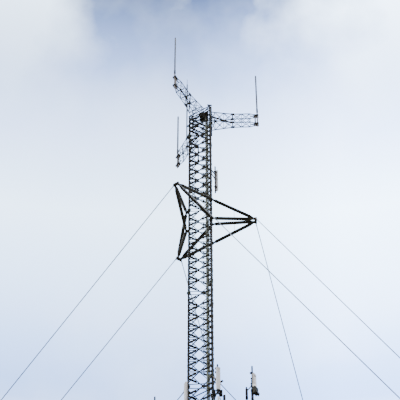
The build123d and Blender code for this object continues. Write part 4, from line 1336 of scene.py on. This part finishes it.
# %% Anchor fittings
ANCHOR_BOLTS = 0.115
mesh = bmesh.new()
for azimuth in LEG_AZIMUTHS:
    for side in (-1, 1, 0):
        top, ground = guy_line(azimuth, side)
        way = (top - ground).normalized()
        square = along(ground, ground + Vector((way.x, way.y, 0)))
        for x, y in rectangle(ANCHOR_BOLTS, ANCHOR_BOLTS):
            spot = square @ Vector((x, y, 0.02))
            post(mesh, spot, 0, 0.005, 0.024)
            bolt(mesh, spot + upward(0.005), (0, 0, 1), 0.030, 0.018)
            post(mesh, spot, 0.02, 0.045, 0.009, sides=10)
        for y in (-0.022, 0.022):
            plate(mesh, ((-0.10, 0.018), (0.10, 0.018), (0.06, 0.12), (-0.02, 0.12)), 0.010,
                  square @ at(0, y, 0) @ turn(90, "X"))
        clevis(mesh, aim(ground + way * HEAD_RISE, way), 0.016, 0.018, -0.01, 0.07, 0.010, 0.05)
piece("anchor_fittings", mesh, "mast_steel", material="galvanised")

# %% [markdown]
# The collar is a band round the mast at the level of the sector booms. Its three bars get a flange
# underneath and bolts at their ends.

# %% Fittings on the collar
collar_level = (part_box("collar")[0].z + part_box("collar")[1].z) / 2
mesh = bmesh.new()
for azimuth in FACE_AZIMUTHS.values():
    place = turn(azimuth)
    slab(mesh, (SHEET + 0.004, -BAR_HALF, collar_level - 0.030),
         (SHEET + 0.045, BAR_HALF, collar_level - 0.022), place)
    for side in (-1, 1):
        for y in (0.49, 0.44, 0.36):
            bolt(mesh, place @ Vector((SHEET + 0.010, side * y, collar_level)), way_of(place, 1), 0.026)
piece("collar_fittings", mesh, "mast_steel")

# %% [markdown]
# ## Floor, sky and light
# The photographer stands far below the level at which the model's mast ends, so the floor must not hide the
# mast from underneath. Its material is see-through from the back and pale from the front. The floor is so
# wide that its edge lies close to the horizon in views from the side.

# %% Floor
FLOOR_RADIUS = 3000.0
sketch = bmesh.new()
bmesh.ops.create_circle(sketch, cap_ends=True, radius=FLOOR_RADIUS, segments=96)
floor = new_object("floor", settled(sketch, "floor"))
shader, place = new_finish("floor_paint", 0.9)
shader.inputs["Base Color"].default_value = (0.42, 0.42, 0.41, 1.0)
tree = place.tree
side = place.node("ShaderNodeNewGeometry", outlet="Backfacing")
clear = tree.nodes.new("ShaderNodeBsdfTransparent")
mixed = tree.nodes.new("ShaderNodeMixShader")
tree.links.new(side.socket, mixed.inputs[0])
tree.links.new(shader.outputs[0], mixed.inputs[1])
tree.links.new(clear.outputs[0], mixed.inputs[2])
tree.links.new(mixed.outputs[0], tree.nodes["Material Output"].inputs["Surface"])
floor.data.materials.append(finish["floor_paint"])

# %% [markdown]
# The sky is a ramp of tones by height, with clouds mixed into it. The part that the camera sees is only a
# few degrees wide: it is deep blue at the foot and in a patch at the top, and paler with ragged clouds in
# the top corners. The east is brighter than the west, and the sky behind the camera is duller, so that the
# near faces stay dark.

# %% Sky
SKY_STRENGTH = 11.0
world = bpy.data.worlds.new("cloudy_sky")
world.use_nodes = True
bpy.context.scene.world = world
sky = world.node_tree.nodes["Background"]
way = world.node_tree.nodes.new("ShaderNodeTexCoord")
up = Socket(world.node_tree, way.outputs["Generated"])
height = up.node("ShaderNodeSeparateXYZ", outlet=2, Vector=up)
tone = height.node("ShaderNodeValToRGB", {"stops": (
    (0.0, (0.55, 0.55, 0.52, 1.0)), (0.74, (0.42, 0.45, 0.48, 1.0)), (0.782, (0.090, 0.150, 0.31, 1.0)),
    (0.797, (0.135, 0.210, 0.38, 1.0)), (0.812, (0.200, 0.290, 0.45, 1.0)), (0.832, (0.27, 0.37, 0.50, 1.0)),
    (0.850, (0.18, 0.25, 0.40, 1.0)), (0.868, (0.074, 0.112, 0.220, 1.0)),
    (0.884, (0.018, 0.029, 0.066, 1.0)))}, Fac=height)
cloud = patches(noise(up, 15.0, 6.0), 0.42, 0.66)
clouded = blend(cloud * 0.22, tone, (0.30, 0.37, 0.46))
across = up.node("ShaderNodeSeparateXYZ", outlet=0, Vector=up)
ragged = 0.010 * noise(up, 24.0, 6.0) - 0.005
off_middle = patches((across + 0.0125) * (across + 0.0125) + ragged, 0.0014, 0.0062)
clouded = blend(off_middle * patches(height, 0.850, 0.880), clouded, (0.25, 0.32, 0.42))
bright = patches(across, -0.02, 0.05) * patches(height, 0.70, 0.78)
north = patches(up.node("ShaderNodeSeparateXYZ", outlet=1, Vector=up), -0.35, 0.25)
above = patches(height, -0.06, 0.10)
dull = blend(north, (0.59, 0.59, 0.59), clouded)
world.node_tree.links.new(dull.socket, sky.inputs["Color"])
strength = SKY_STRENGTH * (0.03 + 0.97 * above) * (0.22 + 0.78 * north) * (1.0 + 0.75 * bright)
world.node_tree.links.new(strength.socket, sky.inputs["Strength"])

# %% [markdown]
# A weak sun behind thin cloud gives the round tubes a soft bright side.

# %% Sun through cloud
sun_data = bpy.data.lights.new("soft_sun", "SUN")
sun_data.energy = 1.0
sun_data.angle = radians(20)
sun = new_object("soft_sun", sun_data)
sun.matrix_world = turn(-38, "X") @ turn(-20, "Y")
